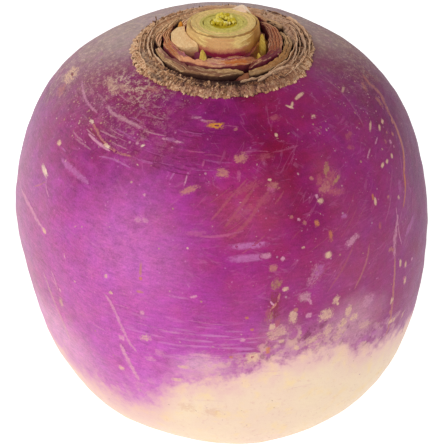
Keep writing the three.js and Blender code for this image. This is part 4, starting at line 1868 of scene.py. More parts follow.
CRUMB_TONES = ((0.0, "#5e3c30"), (0.3, "#99704f"), (0.6, "#c79a76"), (0.85, "#e0b894"), (1.0, "#8a6a5c"))
FLORET_TONES = ((0.0, "#b59a18"), (0.35, "#d6bf30"), (0.7, "#e4d05c"), (1.0, "#efdf92"))


@dataclass(frozen=True)
class CrumbFinish:
    """One colour for each small grain, from a range."""

    name: str
    tones: Tones
    roughness: float

    def build(self) -> Material:
        """Builds the material.

        Returns:
            The material.
        """
        material, g, shader = new_material(self.name, 0.15, self.roughness)
        g.feed(shader["Base Color"], g.stops(g.attribute("shade"), self.tones))
        return material


@dataclass
class Crown:
    """Everything on the root's crown."""

    groups: SharedGroups
    draping: Draping

    def build(self) -> None:
        """Builds and dresses every piece."""
        self.build_collar()
        settle(CrownStem().build(), STEM.build(self.groups), ("root",))
        self.dress(STALKS, STALK)
        self.dress(LEAF_BASES, RIPE)
        self.dress(OLD_LEAF_BASES, OLD)
        self.dress(DRY_SCALES, DRY)
        self.build_crests()
        self.dress(SHEATHS[:2], CREAM)
        self.dress(SHEATHS[2:], GREEN)
        self.dress(SIDE_BUDS, SHOOT)
        heart, florets = HeartBud(), CrumbFinish("florets", FLORET_TONES, 0.5)
        settle(heart.build_cup(), BUD.build(self.groups), ("heart_bud",))
        settle(heart.build_florets(), florets.build(), ("heart_bud",))

    def build_collar(self) -> None:
        """Builds the corky collar and scatters crumbs over it."""
        collar = settle(CorkCollar().build(), CORK.build(self.groups), ("root",))
        finish = CrumbFinish("cork_crumbs", CRUMB_TONES, 0.9).build()
        rings = ((1.0, -0.05), (0.8, 0.12), (0.45, 0.24))
        values = {"Density": 2.6e6, "Smallest": 0.00008, "Largest": 0.0004}
        settle(self.draping.scatter("cork_crumbs", collar, (7, rings), finish, **values), finish)

    def build_crests(self) -> None:
        """Builds the low crests of the collar, which nothing in the record stands for."""
        material = DRY.build(self.groups)
        for k, (start, end, radius, top) in enumerate(CORK_CRESTS):
            crest = dry_scale(f"cork_crest_{k + 1}", start, end, radius, radius + 0.2, top, 300 + k, 0.34, 90)
            settle(crest.build(), material)

    def dress(self, pieces: Sequence[LeafBase | Sheath | SideBud], finish: CutTissue) -> None:
        """Builds several pieces of one finish.

        Args:
            pieces: the pieces.
            finish: their finish.
        """
        material = finish.build(self.groups)
        for piece in pieces:
            settle(piece.build(), material, (piece.name,))


# ---- What grows on the skin: scars, lenticels, scratches and freckles ----


class Tone(Enum):
    """The colour of a mark."""

    CREAM = "#dcb498"
    WHITE = "#e8cdb4"
    PALE_PINK = "#d596ae"
    PINK = "#c2678c"
    LILAC = "#bd6fa8"
    GREY_LILAC = "#bf8797"
    TAN = "#bf7c70"
    ORANGE = "#c67a4e"
    AMBER = "#d58e34"
    RED_TAN = "#b05a66"
    BROWN = "#84382f"
    OLIVE = "#ad7c5e"
    DARK = "#6d1448"


@dataclass(frozen=True)
class Mark:
    """One mark on the skin: where it is, how long and wide, how turned from level, and what colour."""

    azimuth: float
    height: float
    length: float
    width: float
    turn: float
    tone: Tone
    strength: float = 0.8
    ragged: float = 0.5
    bend: float = 0.0
    relief: float = 0.0


@dataclass(frozen=True)
class Trail:
    """A thin line over the skin through (azimuth, height) knots."""

    knots: Knots
    width: float
    tone: Tone
    strength: float = 0.7
    ragged: float = 0.6

    def solid(self, rise: float = 0.012, step: float = 0.35) -> Solid:
        """Builds the line as a thin closed ribbon that tapers to both ends.

        Args:
            rise: its height over the skin in millimetres.
            step: the length of one of its segments.

        Returns:
            The points, faces and attributes of the ribbon.
        """
        rough = FORM.on_skin(*spline(self.knots, 40).T)
        length = float(np.linalg.norm(np.diff(rough, axis=0), axis=1).sum())
        line = spline(self.knots, max(6, int(length / step)))
        middle = FORM.on_skin(*line.T)
        along = np.gradient(middle, axis=0)
        out = FORM.outward(*line.T)
        aside = np.cross(out, along)
        aside /= np.linalg.norm(aside, axis=1, keepdims=True)
        share = np.linspace(-1, 1, len(line))
        half = self.width * 0.62 * (1 - np.abs(share) ** 3) ** 0.5 + 0.01
        section = ((1.0, -0.02), (0.8, rise), (0.0, rise * 1.3), (-0.8, rise), (-1.0, -0.02), (0.0, -0.07))
        rows = [middle + aside * (half * a)[:, None] + out * r for a, r in section]
        across, rises = np.array(section).T
        count = (len(line), len(section))
        lengthways = (share * length / 4)[:, None]
        local = np.stack(np.broadcast_arrays(lengthways, across[None, :], np.zeros(count)), -1)
        ends = np.clip((1 - np.abs(share)) * 6, 0, 1)
        numbers = {
            "core": np.maximum(0, 0.9 - np.abs(across))[None, :] * ends[:, None],
            "local": local,
            "rise": np.broadcast_to(rises, count),
            "strength": np.full(count, self.strength),
            "ragged": np.full(count, self.ragged),
            "tone": np.broadcast_to(tint(self.tone.value)[:3], (*count, 3)),
        }
        return skin_rings(np.stack(rows, 1), numbers)


MARKS = (
    (-2.5, 86.6, 3.8, 1.7, 0, Tone.AMBER, 1, 0.7), (-2.5, 86.6, 1.7, 0.6, 0, Tone.BROWN, 0.6, 0.8),
    (-6.5, 87, 3, 0.8, 5, Tone.TAN, 0.7, 0.9), (-12, 87.2, 2.2, 0.7, 10, Tone.PALE_PINK, 0.5),
    (-8, 87, 2.6, 0.6, -5, Tone.PALE_PINK, 0.5), (-20, 84.5, 2.8, 1, 0, Tone.LILAC, 0.5),
    (-15.8, 79.8, 2.2, 0.5, 70, Tone.LILAC, 0.6), (-6, 82, 1.6, 0.5, 80, Tone.PINK, 0.5),
    (-11, 79.5, 2.4, 0.4, 85, Tone.PALE_PINK, 0.6), (-9.6, 78, 4.5, 1.5, 28, Tone.TAN, 0.75, 0.9),
    (7, 82.7, 3, 2.3, 20, Tone.TAN, 0.85, 0.8), (0.8, 80.8, 2.7, 2.1, 0, Tone.TAN, 0.8, 0.8),
    (33.5, 87.4, 1.9, 0.6, -50, Tone.CREAM, 0.95, 0.3), (35.4, 87.5, 1.8, 0.6, 45, Tone.CREAM, 0.95, 0.3),
    (42.2, 87.9, 3, 0.9, 12, Tone.CREAM, 0.85, 0.4), (23.6, 86.8, 2.8, 1.7, 0, Tone.RED_TAN, 0.6, 0.8),
    (16.1, 78, 2.5, 1.8, 20, Tone.PINK, 0.5, 0.7), (35.2, 76.6, 6, 3.4, 30, Tone.RED_TAN, 0.75, 1),
    (35.4, 78.4, 3.4, 1.6, 55, Tone.OLIVE, 0.8, 1), (37.6, 76.4, 3.2, 1.1, 25, Tone.OLIVE, 0.9, 0.9),
    (33.4, 76.2, 4.4, 2.6, 40, Tone.TAN, 0.6, 1), (36.2, 74.6, 4.4, 1.6, -15, Tone.RED_TAN, 0.7, 1),
    (32, 77.4, 2.8, 1.4, 60, Tone.RED_TAN, 0.7, 1), (30.3, 74, 1.5, 1.3, 0, Tone.CREAM, 0.75, 0.7),
    (-64, 76.5, 1.6, 1.3, 0, Tone.CREAM, 0.9, 0.4), (-60, 76.3, 2.4, 0.5, 0, Tone.LILAC, 0.6),
    (-43.5, 81, 1.3, 0.9, 0, Tone.CREAM, 0.9, 0.3), (-65, 70.2, 4, 1.5, -13, Tone.WHITE, 0.85, 0.5),
    (-56.8, 59.9, 1.9, 1.2, -10, Tone.CREAM, 0.9, 0.5), (-52.5, 49, 3, 0.5, -45, Tone.PALE_PINK, 0.5),
    (-50.5, 44.5, 3, 1.6, 80, Tone.CREAM, 0.55, 0.7), (-91, 82.8, 6.5, 4.4, 15, Tone.CREAM, 0.85, 0.9),
    (-86, 81, 4, 3, 0, Tone.TAN, 0.6, 1), (-90.5, 83, 3, 1.6, 0, Tone.BROWN, 0.65, 1),
    (-63.5, 86.9, 6.5, 2.2, -8, Tone.CREAM, 0.5, 1), (-57.5, 87.5, 5, 1.8, 14, Tone.CREAM, 0.45, 1),
    (-43, 88.5, 4.5, 1.6, 5, Tone.TAN, 0.5, 1), (-42.5, 80.9, 2.2, 0.8, -5, Tone.WHITE, 0.85, 0.5),
    (-55.6, 82.6, 1.8, 0.9, -8, Tone.WHITE, 0.75, 0.6), (-29.6, 82.9, 1.1, 0.6, 40, Tone.WHITE, 0.8),
    (50.4, 45.9, 2.2, 1.2, 80, Tone.CREAM, 0.8, 0.6), (50.9, 39.9, 1.9, 1.5, 0, Tone.CREAM, 0.8, 0.6),
    (51.6, 57.9, 1.2, 0.9, 0, Tone.TAN, 0.8), (62.6, 80.3, 2.8, 0.7, 32, Tone.CREAM, 0.85, 0.5),
    (54.4, 77.3, 3, 0.5, 32, Tone.PALE_PINK, 0.75, 0.6), (69.8, 79.1, 1.3, 0.8, 20, Tone.CREAM, 0.9, 0.4),
    (66.1, 79, 1.6, 0.8, 30, Tone.CREAM, 0.85, 0.5), (60.6, 78, 2.2, 0.5, 20, Tone.PALE_PINK, 0.6, 0.6),
    (63.5, 74, 1.1, 0.8, 60, Tone.CREAM, 0.9, 0.3), (60.1, 74, 1.2, 0.8, 20, Tone.CREAM, 0.9, 0.3),
    (57.5, 74.1, 1.4, 0.8, 20, Tone.CREAM, 0.9, 0.3), (48.8, 69.5, 1.8, 0.8, 75, Tone.CREAM, 0.9, 0.4),
    (50.4, 81.4, 3, 1.5, 20, Tone.RED_TAN, 0.65, 1), (48.5, 79.8, 2, 1, -30, Tone.RED_TAN, 0.55, 1),
    (77, 81, 3, 1.6, 60, Tone.TAN, 0.65, 0.9), (78, 84, 3, 1.5, 40, Tone.TAN, 0.65, 0.9),
    (66, 86, 2.6, 0.8, 10, Tone.CREAM, 0.6, 0.6), (7.8, 68.8, 8, 1.5, 0, Tone.LILAC, 0.75, 0.3),
    (7.3, 66.5, 8.2, 1.7, 0, Tone.LILAC, 0.7, 0.35), (12, 66.6, 2.4, 1.4, 0, Tone.PALE_PINK, 0.6, 0.4),
    (13.7, 64, 1.9, 1.7, 0, Tone.TAN, 0.75, 0.6), (14.7, 60.5, 1.3, 1.2, 0, Tone.OLIVE, 0.85),
    (16.5, 59.3, 1.4, 1.1, 0, Tone.CREAM, 0.85), (21.5, 56.5, 2.8, 2.4, 0, Tone.GREY_LILAC, 0.8, 0.6),
    (13.3, 55.4, 9, 2.8, 84, Tone.BROWN, 0.55, 1), (14.1, 60.7, 2.8, 2.2, 60, Tone.OLIVE, 0.7, 1),
    (13.2, 55.9, 3.2, 0.6, 52, Tone.TAN, 0.9, 0.8), (12.9, 56.5, 2, 0.5, -55, Tone.PALE_PINK, 0.85, 0.7),
    (14.6, 57.6, 2.2, 0.6, 80, Tone.TAN, 0.8, 0.9), (12.1, 53.9, 4, 1.6, 80, Tone.OLIVE, 0.65, 1),
    (14, 51.8, 2.4, 1.2, 80, Tone.RED_TAN, 0.7, 1), (19, 54, 1.2, 1.1, 0, Tone.TAN),
    (29.3, 64, 1.7, 1.5, 8, Tone.CREAM, 0.9, 0.25), (26, 61.5, 3, 2.8, 0, Tone.LILAC, 0.55, 0.6),
    (27.5, 70.5, 1.3, 1.5, 0, Tone.ORANGE, 0.75, 0.8), (31, 67.5, 2.6, 1.1, 85, Tone.ORANGE, 0.7, 0.9),
    (48.5, 70.5, 1.5, 0.7, 70, Tone.ORANGE, 0.8), (47.9, 64.8, 1.6, 1, 60, Tone.RED_TAN, 0.8, 0.8),
    (36.5, 70, 1.7, 1, 0, Tone.LILAC, 0.6), (37.5, 65, 4.3, 1.8, 22, Tone.PALE_PINK, 0.65, 0.7),
    (54.5, 53.5, 2, 1, 85, Tone.CREAM, 0.9, 0.4), (57, 52, 1.6, 1, 80, Tone.CREAM, 0.8, 0.4),
    (56, 49, 1.1, 1, 0, Tone.PINK), (62.3, 58.8, 6.4, 1.8, 8, Tone.LILAC, 0.6, 0.9),
    (61.6, 68.5, 3, 2, 60, Tone.LILAC, 0.35, 1), (56.6, 48.1, 2.2, 1.2, 80, Tone.CREAM, 0.75, 0.6),
    (58, 37.9, 2, 1.3, 60, Tone.CREAM, 0.6, 0.8), (60.7, 51.5, 1.1, 0.8, 0, Tone.PALE_PINK, 0.7),
    (50.6, 58.5, 1.6, 1.2, 0, Tone.TAN, 0.7, 0.8), (75.5, 77.4, 2.2, 1.2, 30, Tone.TAN, 0.8, 0.8),
    (-21.3, 62.2, 3.8, 0.7, 90, Tone.TAN, 0.75, 0.5), (-21.3, 60.3, 0.9, 0.9, 0, Tone.ORANGE),
    (-21.5, 57.3, 1.7, 0.8, 0, Tone.TAN, 0.8), (-11, 57.9, 4.6, 0.6, 0, Tone.LILAC, 0.6),
    (-7, 58.5, 1.7, 0.6, 20, Tone.PALE_PINK, 0.7), (-23.7, 71.5, 1.7, 1.3, 0, Tone.PALE_PINK, 0.5, 0.8),
    (-21.5, 71.8, 1.5, 1.2, 0, Tone.PALE_PINK, 0.5, 0.8), (-6.5, 71, 5, 1.2, 5, Tone.PINK, 0.4, 0.8),
    (-20.4, 46.4, 3, 2, 20, Tone.CREAM, 0.6, 0.9), (-19.4, 41, 2.6, 1.7, 10, Tone.PALE_PINK, 0.55, 1),
    (-16.5, 43.5, 2.4, 1.8, 0, Tone.PALE_PINK, 0.45, 1), (-27.5, 44.5, 1.7, 1.5, 0, Tone.PALE_PINK, 0.7),
    (-29, 35.5, 1.7, 1.5, 0, Tone.CREAM, 0.7, 0.7), (-21, 52.5, 1.1, 1, 0, Tone.PALE_PINK),
    (-10.5, 40.5, 2.6, 1, 0, Tone.CREAM, 0.7), (-12.5, 36.5, 2.6, 1.1, 0, Tone.CREAM, 0.7),
    (-5.5, 44.3, 5.4, 0.9, -6, Tone.PALE_PINK, 0.75, 0.5, -0.9),
    (-10, 50.3, 6, 0.6, 0, Tone.LILAC, 0.6, 0.6), (-3, 49.6, 7, 0.6, 2, Tone.LILAC, 0.6, 0.6),
    (-8, 48, 8, 0.7, 0, Tone.LILAC, 0.6, 0.6), (1, 47.4, 6, 0.6, 0, Tone.LILAC, 0.6, 0.6),
    (-11, 46.2, 4.4, 0.6, 0, Tone.LILAC, 0.6, 0.6), (3, 50.8, 5, 0.6, -3, Tone.LILAC, 0.55, 0.6),
    (-4, 51.6, 5, 0.5, 0, Tone.LILAC, 0.5, 0.6), (-11, 28, 4, 3, 0, Tone.ORANGE, 0.22, 1),
    (-4, 27, 4, 3, 0, Tone.ORANGE, 0.22, 1), (7.5, 43.5, 3.1, 3, 0, Tone.CREAM, 0.85, 0.35),
    (7.5, 43.5, 1.3, 1.2, 0, Tone.RED_TAN, 0.85, 0.4), (12.7, 51, 1.9, 1.5, 80, Tone.CREAM, 0.8),
    (18.2, 52.5, 3.6, 2, 85, Tone.CREAM, 0.75, 0.6), (5, 48.5, 1.3, 1.2, 0, Tone.PALE_PINK),
    (11.5, 45, 2.1, 1.1, 85, Tone.ORANGE, 0.8), (15, 47, 1.4, 1.2, 0, Tone.CREAM, 0.75),
    (19, 44.5, 1.6, 1.4, 0, Tone.CREAM, 0.8), (22.5, 52, 1.6, 1.3, 0, Tone.PALE_PINK, 0.7),
    (27.4, 50.8, 3.8, 3.2, 20, Tone.CREAM, 0.7, 0.9), (27.8, 46.8, 3.6, 2.2, 65, Tone.CREAM, 0.55, 1),
    (31.4, 44.6, 4.2, 2.6, 35, Tone.CREAM, 0.5, 1), (24.5, 44.9, 2, 1, 15, Tone.PALE_PINK, 0.8, 0.7),
    (21.9, 47.3, 3.6, 1.7, 60, Tone.DARK, 0.6, 0.9), (26.3, 48.6, 2.6, 1.5, 30, Tone.DARK, 0.5, 0.9),
    (24.9, 60.7, 5.4, 3, 60, Tone.PALE_PINK, 0.4, 0.9),
    (22.9, 55.3, 2.2, 0.8, -60, Tone.PALE_PINK, 0.7, 0.7), (39, 39.8, 4.4, 1.8, 10, Tone.LILAC, 0.6, 1),
    (6.2, 54, 0.9, 0.8, 0, Tone.ORANGE), (7.5, 51, 0.9, 0.8, 0, Tone.ORANGE),
    (2, 43.8, 0.9, 0.8, 0, Tone.ORANGE), (11.8, 54.2, 3.8, 1.5, 80, Tone.RED_TAN, 0.5, 1),
    (34.4, 49.6, 3, 1.7, 75, Tone.CREAM, 0.7, 0.9), (32.7, 47.2, 2.6, 2, 60, Tone.CREAM, 0.75, 0.8),
    (36.2, 47.4, 2.4, 2, 0, Tone.CREAM, 0.8, 0.8), (52.5, 39.5, 1.4, 1.1, 80, Tone.CREAM, 0.8),
    (50, 43, 1.3, 1.2, 0, Tone.TAN, 0.7), (44, 40, 2.1, 1.3, 0, Tone.LILAC, 0.6),
    (6, 74.3, 7, 1.6, 35, Tone.RED_TAN, 0.4, 0.9), (7.5, 78.3, 8, 1.8, 22, Tone.RED_TAN, 0.45, 0.9),
    (16.5, 78.2, 3, 2.2, 10, Tone.TAN, 0.6, 0.8), (13, 76.3, 4, 1.8, 30, Tone.RED_TAN, 0.4, 0.9),
    (15.5, 82.6, 3.8, 1.6, 0, Tone.RED_TAN, 0.4, 0.9), (6, 80.3, 2.4, 0.9, 85, Tone.PINK, 0.5, 0.8),
    (23.5, 45.5, 5, 3, 10, Tone.CREAM, 0.5, 1), (14, 49.5, 4.5, 3, 30, Tone.CREAM, 0.5, 1),
    (30.5, 53.7, 2.2, 1.6, 60, Tone.CREAM, 0.7, 0.7), (41, 50, 4, 3, 20, Tone.PALE_PINK, 0.4, 1),
    (40, 44, 4, 2.4, -20, Tone.CREAM, 0.45, 1),
)
DOTS = (
    (-32, 83), (-23.4, 76), (5.8, 86.2), (21.8, 85), (15.8, 79.3), (41.2, 85.7), (29.6, 78),
    (-56.5, 75), (-42.5, 53.5), (-46.5, 58), (-31.5, 58.5), (-30, 55), (-50, 48), (67.9, 77.4),
    (70.2, 76.3), (64.4, 76.7), (66.6, 75.9), (66.9, 74.8), (54.3, 68.6), (59, 66.8),
    (20.5, 72.7), (22.5, 72), (24, 71.2), (22.5, 66.8), (16.5, 65.5), (29.5, 75), (31, 52.5),
    (34.5, 51), (96, 72), (104, 61), (118, 78), (131, 52), (149, 66), (163, 80), (176, 57),
    (-172, 70), (-158, 61), (-149, 77), (-133, 54), (-121, 68), (-112, 59), (-104, 74), (122, 45),
    (158, 43), (-166, 46), (-126, 42), (88, 48),
)
TRAILS = (
    Trail(((86, 84.6), (83, 83.6), (81.8, 81), (77.6, 79.2), (76.2, 77.6)), 1.7, Tone.TAN, 0.65, 1.0),
    Trail(((77.5, 79), (74.5, 75.7), (71.2, 72.5), (68.5, 70.7), (66, 69)), 1.5, Tone.TAN, 0.9, 0.4),
    Trail(((72, 73.2), (69, 71), (66, 69), (63.5, 66.1), (59.6, 63.7)), 1.0, Tone.ORANGE, 0.9, 0.4),
    Trail(((56.8, 64.2), (54.3, 61.6), (52.6, 58.6), (52, 55.5)), 1.8, Tone.PALE_PINK, 0.6, 1.0),
    Trail(((52.4, 57), (51.6, 53), (51, 49), (50.6, 44.4), (50.4, 39.1), (49.4, 36)), 0.9, Tone.TAN, 0.8),
    Trail(((56.5, 66), (55.5, 61), (56, 57)), 0.5, Tone.PALE_PINK, 0.6),
    Trail(
        ((-32.5, 54.6), (-29.6, 52), (-27.4, 47.6), (-25.3, 44), (-22.6, 41.6)), 1.0, Tone.PALE_PINK, 0.6,
        0.8,
    ),
    Trail(((-28.3, 43), (-26.3, 38.6), (-23.6, 33.2)), 1.5, Tone.PALE_PINK, 0.8, 0.8),
    Trail(((2, 69.8), (8.5, 73.5), (12.5, 76.3), (16, 78)), 1.1, Tone.RED_TAN, 0.5),
    Trail(((1, 72), (6, 75.5), (12, 79.5)), 1.0, Tone.RED_TAN, 0.55),
    Trail(((-3, 73), (3, 77), (9, 80)), 0.7, Tone.RED_TAN, 0.5),
    Trail(((-6, 70.5), (1, 70.8), (7, 71.6)), 0.7, Tone.PINK, 0.5),
    Trail(((28, 56), (33, 60), (38, 64.5)), 0.7, Tone.RED_TAN, 0.5),
    Trail(((36, 54), (40, 58), (43, 63)), 0.7, Tone.TAN, 0.45),
    Trail(
        ((-59.5, 74.8), (-54.5, 74.7), (-50.1, 74.6), (-46, 74.4), (-42.6, 74.2)), 1.7, Tone.LILAC, 0.65,
        0.6,
    ),
    Trail(
        ((-56.6, 85.4), (-49.5, 84.9), (-42.7, 85), (-37.4, 85), (-32.3, 84.9)), 1.2, Tone.GREY_LILAC, 0.8,
        0.9,
    ),
    Trail(((-56.6, 82.7), (-51, 82.1), (-45, 81.2), (-38, 80.8), (-31, 81.1)), 0.9, Tone.TAN, 0.75, 0.8),
    Trail(((-53.9, 81), (-46.5, 80.7), (-40.2, 80.5)), 0.8, Tone.PALE_PINK, 0.8, 0.5),
    Trail(((-53, 81.7), (-47, 81.2), (-42, 80.9)), 0.5, Tone.BROWN, 0.6, 0.5),
    Trail(((-81.3, 84.6), (-70.4, 84.1), (-62.8, 83.9), (-55.5, 83.9)), 0.9, Tone.PALE_PINK, 0.5, 0.9),
    Trail(((-24, 84.5), (-20, 84.4), (-14, 84.4)), 0.8, Tone.PALE_PINK, 0.6, 0.8),
    Trail(((-44, 79), (-38, 79.6), (-30, 79.4)), 0.6, Tone.LILAC, 0.6, 0.8),
    Trail(((-76, 61.5), (-69.6, 61.1), (-62.2, 60.4), (-56.8, 59.9)), 1.5, Tone.PALE_PINK, 0.7, 0.9),
    Trail(((-62.5, 69.3), (-60.8, 68), (-57.5, 66.9)), 0.5, Tone.PALE_PINK, 0.6),
    Trail(((-62, 69), (-65.2, 66.9), (-68, 65.4)), 0.5, Tone.TAN, 0.6),
    Trail(((-53, 52), (-51.8, 49.8), (-51, 47.2)), 0.9, Tone.PALE_PINK, 0.6, 0.9),
    Trail(((-58, 50), (-55, 44), (-52, 38), (-50, 33)), 1.4, Tone.CREAM, 0.3, 0.9),
)


SCRATCHES = (
    (18, -88, -30, 78, 87.5, 0.0, Tone.GREY_LILAC, 0.75), (12, -60, 0, 50, 78, 0.25, Tone.LILAC, 0.35),
    (10, -5, 45, 58, 84, -0.6, Tone.RED_TAN, 0.45), (10, -20, 40, 82, 87.5, 0.03, Tone.PINK, 0.5),
    (9, 40, 80, 50, 84, -1.2, Tone.PALE_PINK, 0.22), (30, -48, -6, 80.5, 87.5, 0.02, Tone.DARK, 0.6),
    (16, -46, -4, 81, 87.5, 0.02, Tone.LILAC, 0.45), (18, -60, 30, 30, 54, 0.03, Tone.PALE_PINK, 0.5),
    (24, 90, 270, 56, 86, 0.1, Tone.PINK, 0.45), (14, 90, 270, 34, 60, 0.4, Tone.PALE_PINK, 0.4),
    (6, 84, 150, 50, 82, -1.5, Tone.TAN, 0.5),
)


def build_lens(around: int, rings: Knots, power: float = 2.0) -> Obj:
    """Builds the flat closed lens that every mark is made from.

    Args:
        around: points round the rim.
        rings: (share of the radius, height over the skin in millimetres) of each ring from the rim inwards.
        power: how square the outline is, 2 for an ellipse.

    Returns:
        A helper object a metre in radius, with its share of the radius in the attribute core.
    """
    turn = np.arange(around) * 2 * math.pi / around
    c, s = np.cos(turn), np.sin(turn)
    outline = np.stack([np.sign(c) * np.abs(c) ** (2 / power), np.sign(s) * np.abs(s) ** (2 / power)], -1)
    loops = ((0.7, -0.07), *rings)
    rows = np.array([np.column_stack([outline * r, np.full(around, h * MM)]) for r, h in loops])
    core = np.repeat([[1 - r] for r, _ in loops], around, 1)
    rise = np.repeat([[h] for _, h in loops], around, 1)
    return solid_of_rings("lens", rows / MM, {"core": core, "rise": rise, "local": rows})


class Draping:
    """The Geometry Nodes groups that lay small shapes on the skin."""

    def __init__(self) -> None:
        """Builds the groups."""
        self.drape = self.build_drape()
        self.placed = self.build_placed()
        self.scattered = self.build_scattered()

    @staticmethod
    def named(g: Graph, name: str, kind: str = "FLOAT") -> Socket:
        """Reads a named attribute."""
        return g.node("GeometryNodeInputNamedAttribute", {"data_type": kind}, Name=name).outputs["Attribute"]

    @staticmethod
    def mesh_of(g: Graph, obj: Socket, space: str) -> Socket:
        """Reads an object's mesh, in its own space or in this one's."""
        return g.node("GeometryNodeObjectInfo", {"transform_space": space}, Object=obj).outputs["Geometry"]

    @staticmethod
    def chance(g: Graph, seed: Value, most: float = 1.0) -> Socket:
        """Draws a number from nothing to the most for each instance."""
        made = g.node("FunctionNodeRandomValue", {"data_type": "FLOAT"}, Seed=seed, i3=most)
        return made.outputs[1]

    def finished(self, g: Graph, instances: Socket, given: Sockets, out: Sockets) -> None:
        """Lays real copies of instances on the skin and gives them their material.

        Args:
            g: the tree's graph.
            instances: the instances, or their real copies.
            given: the sockets of the tree's inputs.
            out: the inputs of its output node.
        """
        laid = g.group(self.drape, Geometry=instances, Skin=given["Skin"])[0]
        dressed = g.node("GeometryNodeSetMaterial", None, Geometry=laid, Material=given["Material"])
        g.feed(out[0], dressed.outputs[0])

    def build_drape(self) -> Tree:
        """Builds the group that lays a mesh on the skin by each vertex's height over it.

        Returns:
            The group.
        """
        inputs = {"Geometry": "Geometry", "Skin": "Object"}
        tree, g, given, out = new_group("drape_on_skin", "Geometry", inputs, {"Geometry": "Geometry"})
        skin = self.mesh_of(g, given["Skin"], "RELATIVE")
        nearest = g.node("GeometryNodeProximity", {"target_element": "FACES"}, i0=skin).outputs["Position"]
        normal = g.node("GeometryNodeInputNormal").outputs["Normal"]
        kind, values = {"data_type": "FLOAT_VECTOR"}, {"Value": normal, "Sample_Position": nearest}
        sampled = g.node("GeometryNodeSampleNearestSurface", kind, Mesh=skin, **values)
        relief = g.mul(self.named(g, "relief"), self.named(g, "core"))
        over = g.mul(g.add(self.named(g, "rise"), relief), MM)
        place = g.vector("ADD", nearest, g.vector("SCALE", sampled.outputs["Value"], Scale=over))
        moved = g.node("GeometryNodeSetPosition", None, Geometry=given["Geometry"], Position=place)
        g.feed(out[0], moved.outputs[0])
        return tree

    def build_placed(self) -> Tree:
        """Builds the tree that puts one lens at each listed point, bends it and lays it on the skin.

        Returns:
            The tree.
        """
        inputs = {"Geometry": "Geometry", "Skin": "Object", "Lens": "Object", "Material": "Material"}
        tree, g, given, out = new_group("placed_marks", "Geometry", inputs, {"Geometry": "Geometry"})
        lens = self.mesh_of(g, given["Lens"], "ORIGINAL")
        facing = self.named(g, "facing", "FLOAT_VECTOR")
        turned = g.node("FunctionNodeEulerToRotation", None, i0=facing).outputs[0]
        size = self.named(g, "size", "FLOAT_VECTOR")
        values = {"Points": given["Geometry"], "Instance": lens, "Rotation": turned, "Scale": size}
        placed = g.node("GeometryNodeInstanceOnPoints", None, **values).outputs[0]
        real = g.node("GeometryNodeRealizeInstances", None, Geometry=placed).outputs[0]
        along = g.split(self.named(g, "local", "FLOAT_VECTOR"))[0]
        bow = g.mul(g.mul(along, along), g.mul(self.named(g, "bend"), MM))
        sideways = g.combine(0.0, bow)
        bowed = g.node("FunctionNodeRotateVector", None, Vector=sideways, Rotation=turned).outputs[0]
        moved = g.node("GeometryNodeSetPosition", None, Geometry=real, Offset=bowed).outputs[0]
        self.finished(g, moved, given, out)
        return tree

    def build_scattered(self) -> Tree:
        """Builds the tree that scatters small lenses over the skin where its attribute allows them.

        Returns:
            The tree.
        """
        inputs = {"Geometry": "Geometry", "Skin": "Object", "Lens": "Object", "Material": "Material"}
        inputs |= {"Density": 100000.0, "Smallest": 0.0001, "Largest": 0.0004, "Seed": SEED}
        tree, g, i, out = new_group("scattered_marks", "Geometry", inputs, {"Geometry": "Geometry"})
        lens = self.mesh_of(g, i["Lens"], "ORIGINAL")
        skin = self.mesh_of(g, i["Skin"], "RELATIVE")
        density = g.mul(self.named(g, "freckled"), i["Density"])
        values = {"Mesh": skin, "Density": density, "Seed": i["Seed"]}
        spread = g.node("GeometryNodeDistributePointsOnFaces", None, **values)
        spin = self.chance(g, i["Seed"], 2 * math.pi)
        twist = g.node("FunctionNodeAxisAngleToRotation", None, Axis=(0.0, 0.0, 1.0), Angle=spin).outputs[0]
        local = {"rotation_space": "LOCAL"}
        upright = spread.outputs["Rotation"]
        turned = g.node("FunctionNodeRotateRotation", local, i0=upright, i1=twist).outputs[0]
        draw = self.chance(g, g.add(i["Seed"], 1))
        size = g.add(i["Smallest"], g.mul(g.math("POWER", draw, 3.0), g.sub(i["Largest"], i["Smallest"])))
        slim = self.chance(g, g.add(i["Seed"], 2))
        scale = g.combine(size, g.mul(size, g.add(g.mul(slim, 0.6), 0.4)), 1.0)
        values = {"Points": spread.outputs[0], "Instance": lens, "Rotation": turned, "Scale": scale}
        placed = g.node("GeometryNodeInstanceOnPoints", None, **values).outputs[0]
        kind = {"data_type": "FLOAT", "domain": "INSTANCE"}
        kept = g.node("GeometryNodeStoreNamedAttribute", kind, Geometry=placed, Name="shade")
        shade = self.chance(g, g.add(i["Seed"], 3))
        g.feed([n for n in kept.inputs if n.name == "Value" and n.enabled][0], shade)
        real = g.node("GeometryNodeRealizeInstances", None, Geometry=kept.outputs[0]).outputs[0]
        self.finished(g, real, i, out)
        return tree

    def scatter(self, name: str, skin: Obj, lens: tuple[int, Knots], look: Material, **values: float) -> Obj:
        """Scatters small lenses over a skin.

        Args:
            name: the new object's name.
            skin: the object that carries them.
            lens: how many points go round a lens, and its rings.
            look: their material.
            **values: how dense and how large they are.

        Returns:
            One object with all of them.
        """
        helper = build_lens(*lens)
        seeds = make_object(name, np.zeros((1, 3)), [])
        grown = grow(seeds, self.scattered, Skin=skin, Lens=helper, Material=look, **values)
        bpy.data.objects.remove(helper)
        return grown


def grow(obj: Obj, tree: Tree, **values: object) -> Obj:
    """Runs a Geometry Nodes tree on an object and keeps the plain mesh it gives.

    Args:
        obj: the object.
        tree: the tree.
        **values: values for the tree's named inputs, with _ for a space.

    Returns:
        The object with its new mesh.
    """
    modifier = obj.modifiers.new("grow", "NODES")
    modifier.node_group = tree
    for item in tree.interface.items_tree:
        key = item.name.replace(" ", "_")
        if item.item_type == "SOCKET" and item.in_out == "INPUT" and key in values:
            modifier[item.identifier] = values[key]
    obj.update_tag()
    return plain_mesh(obj)


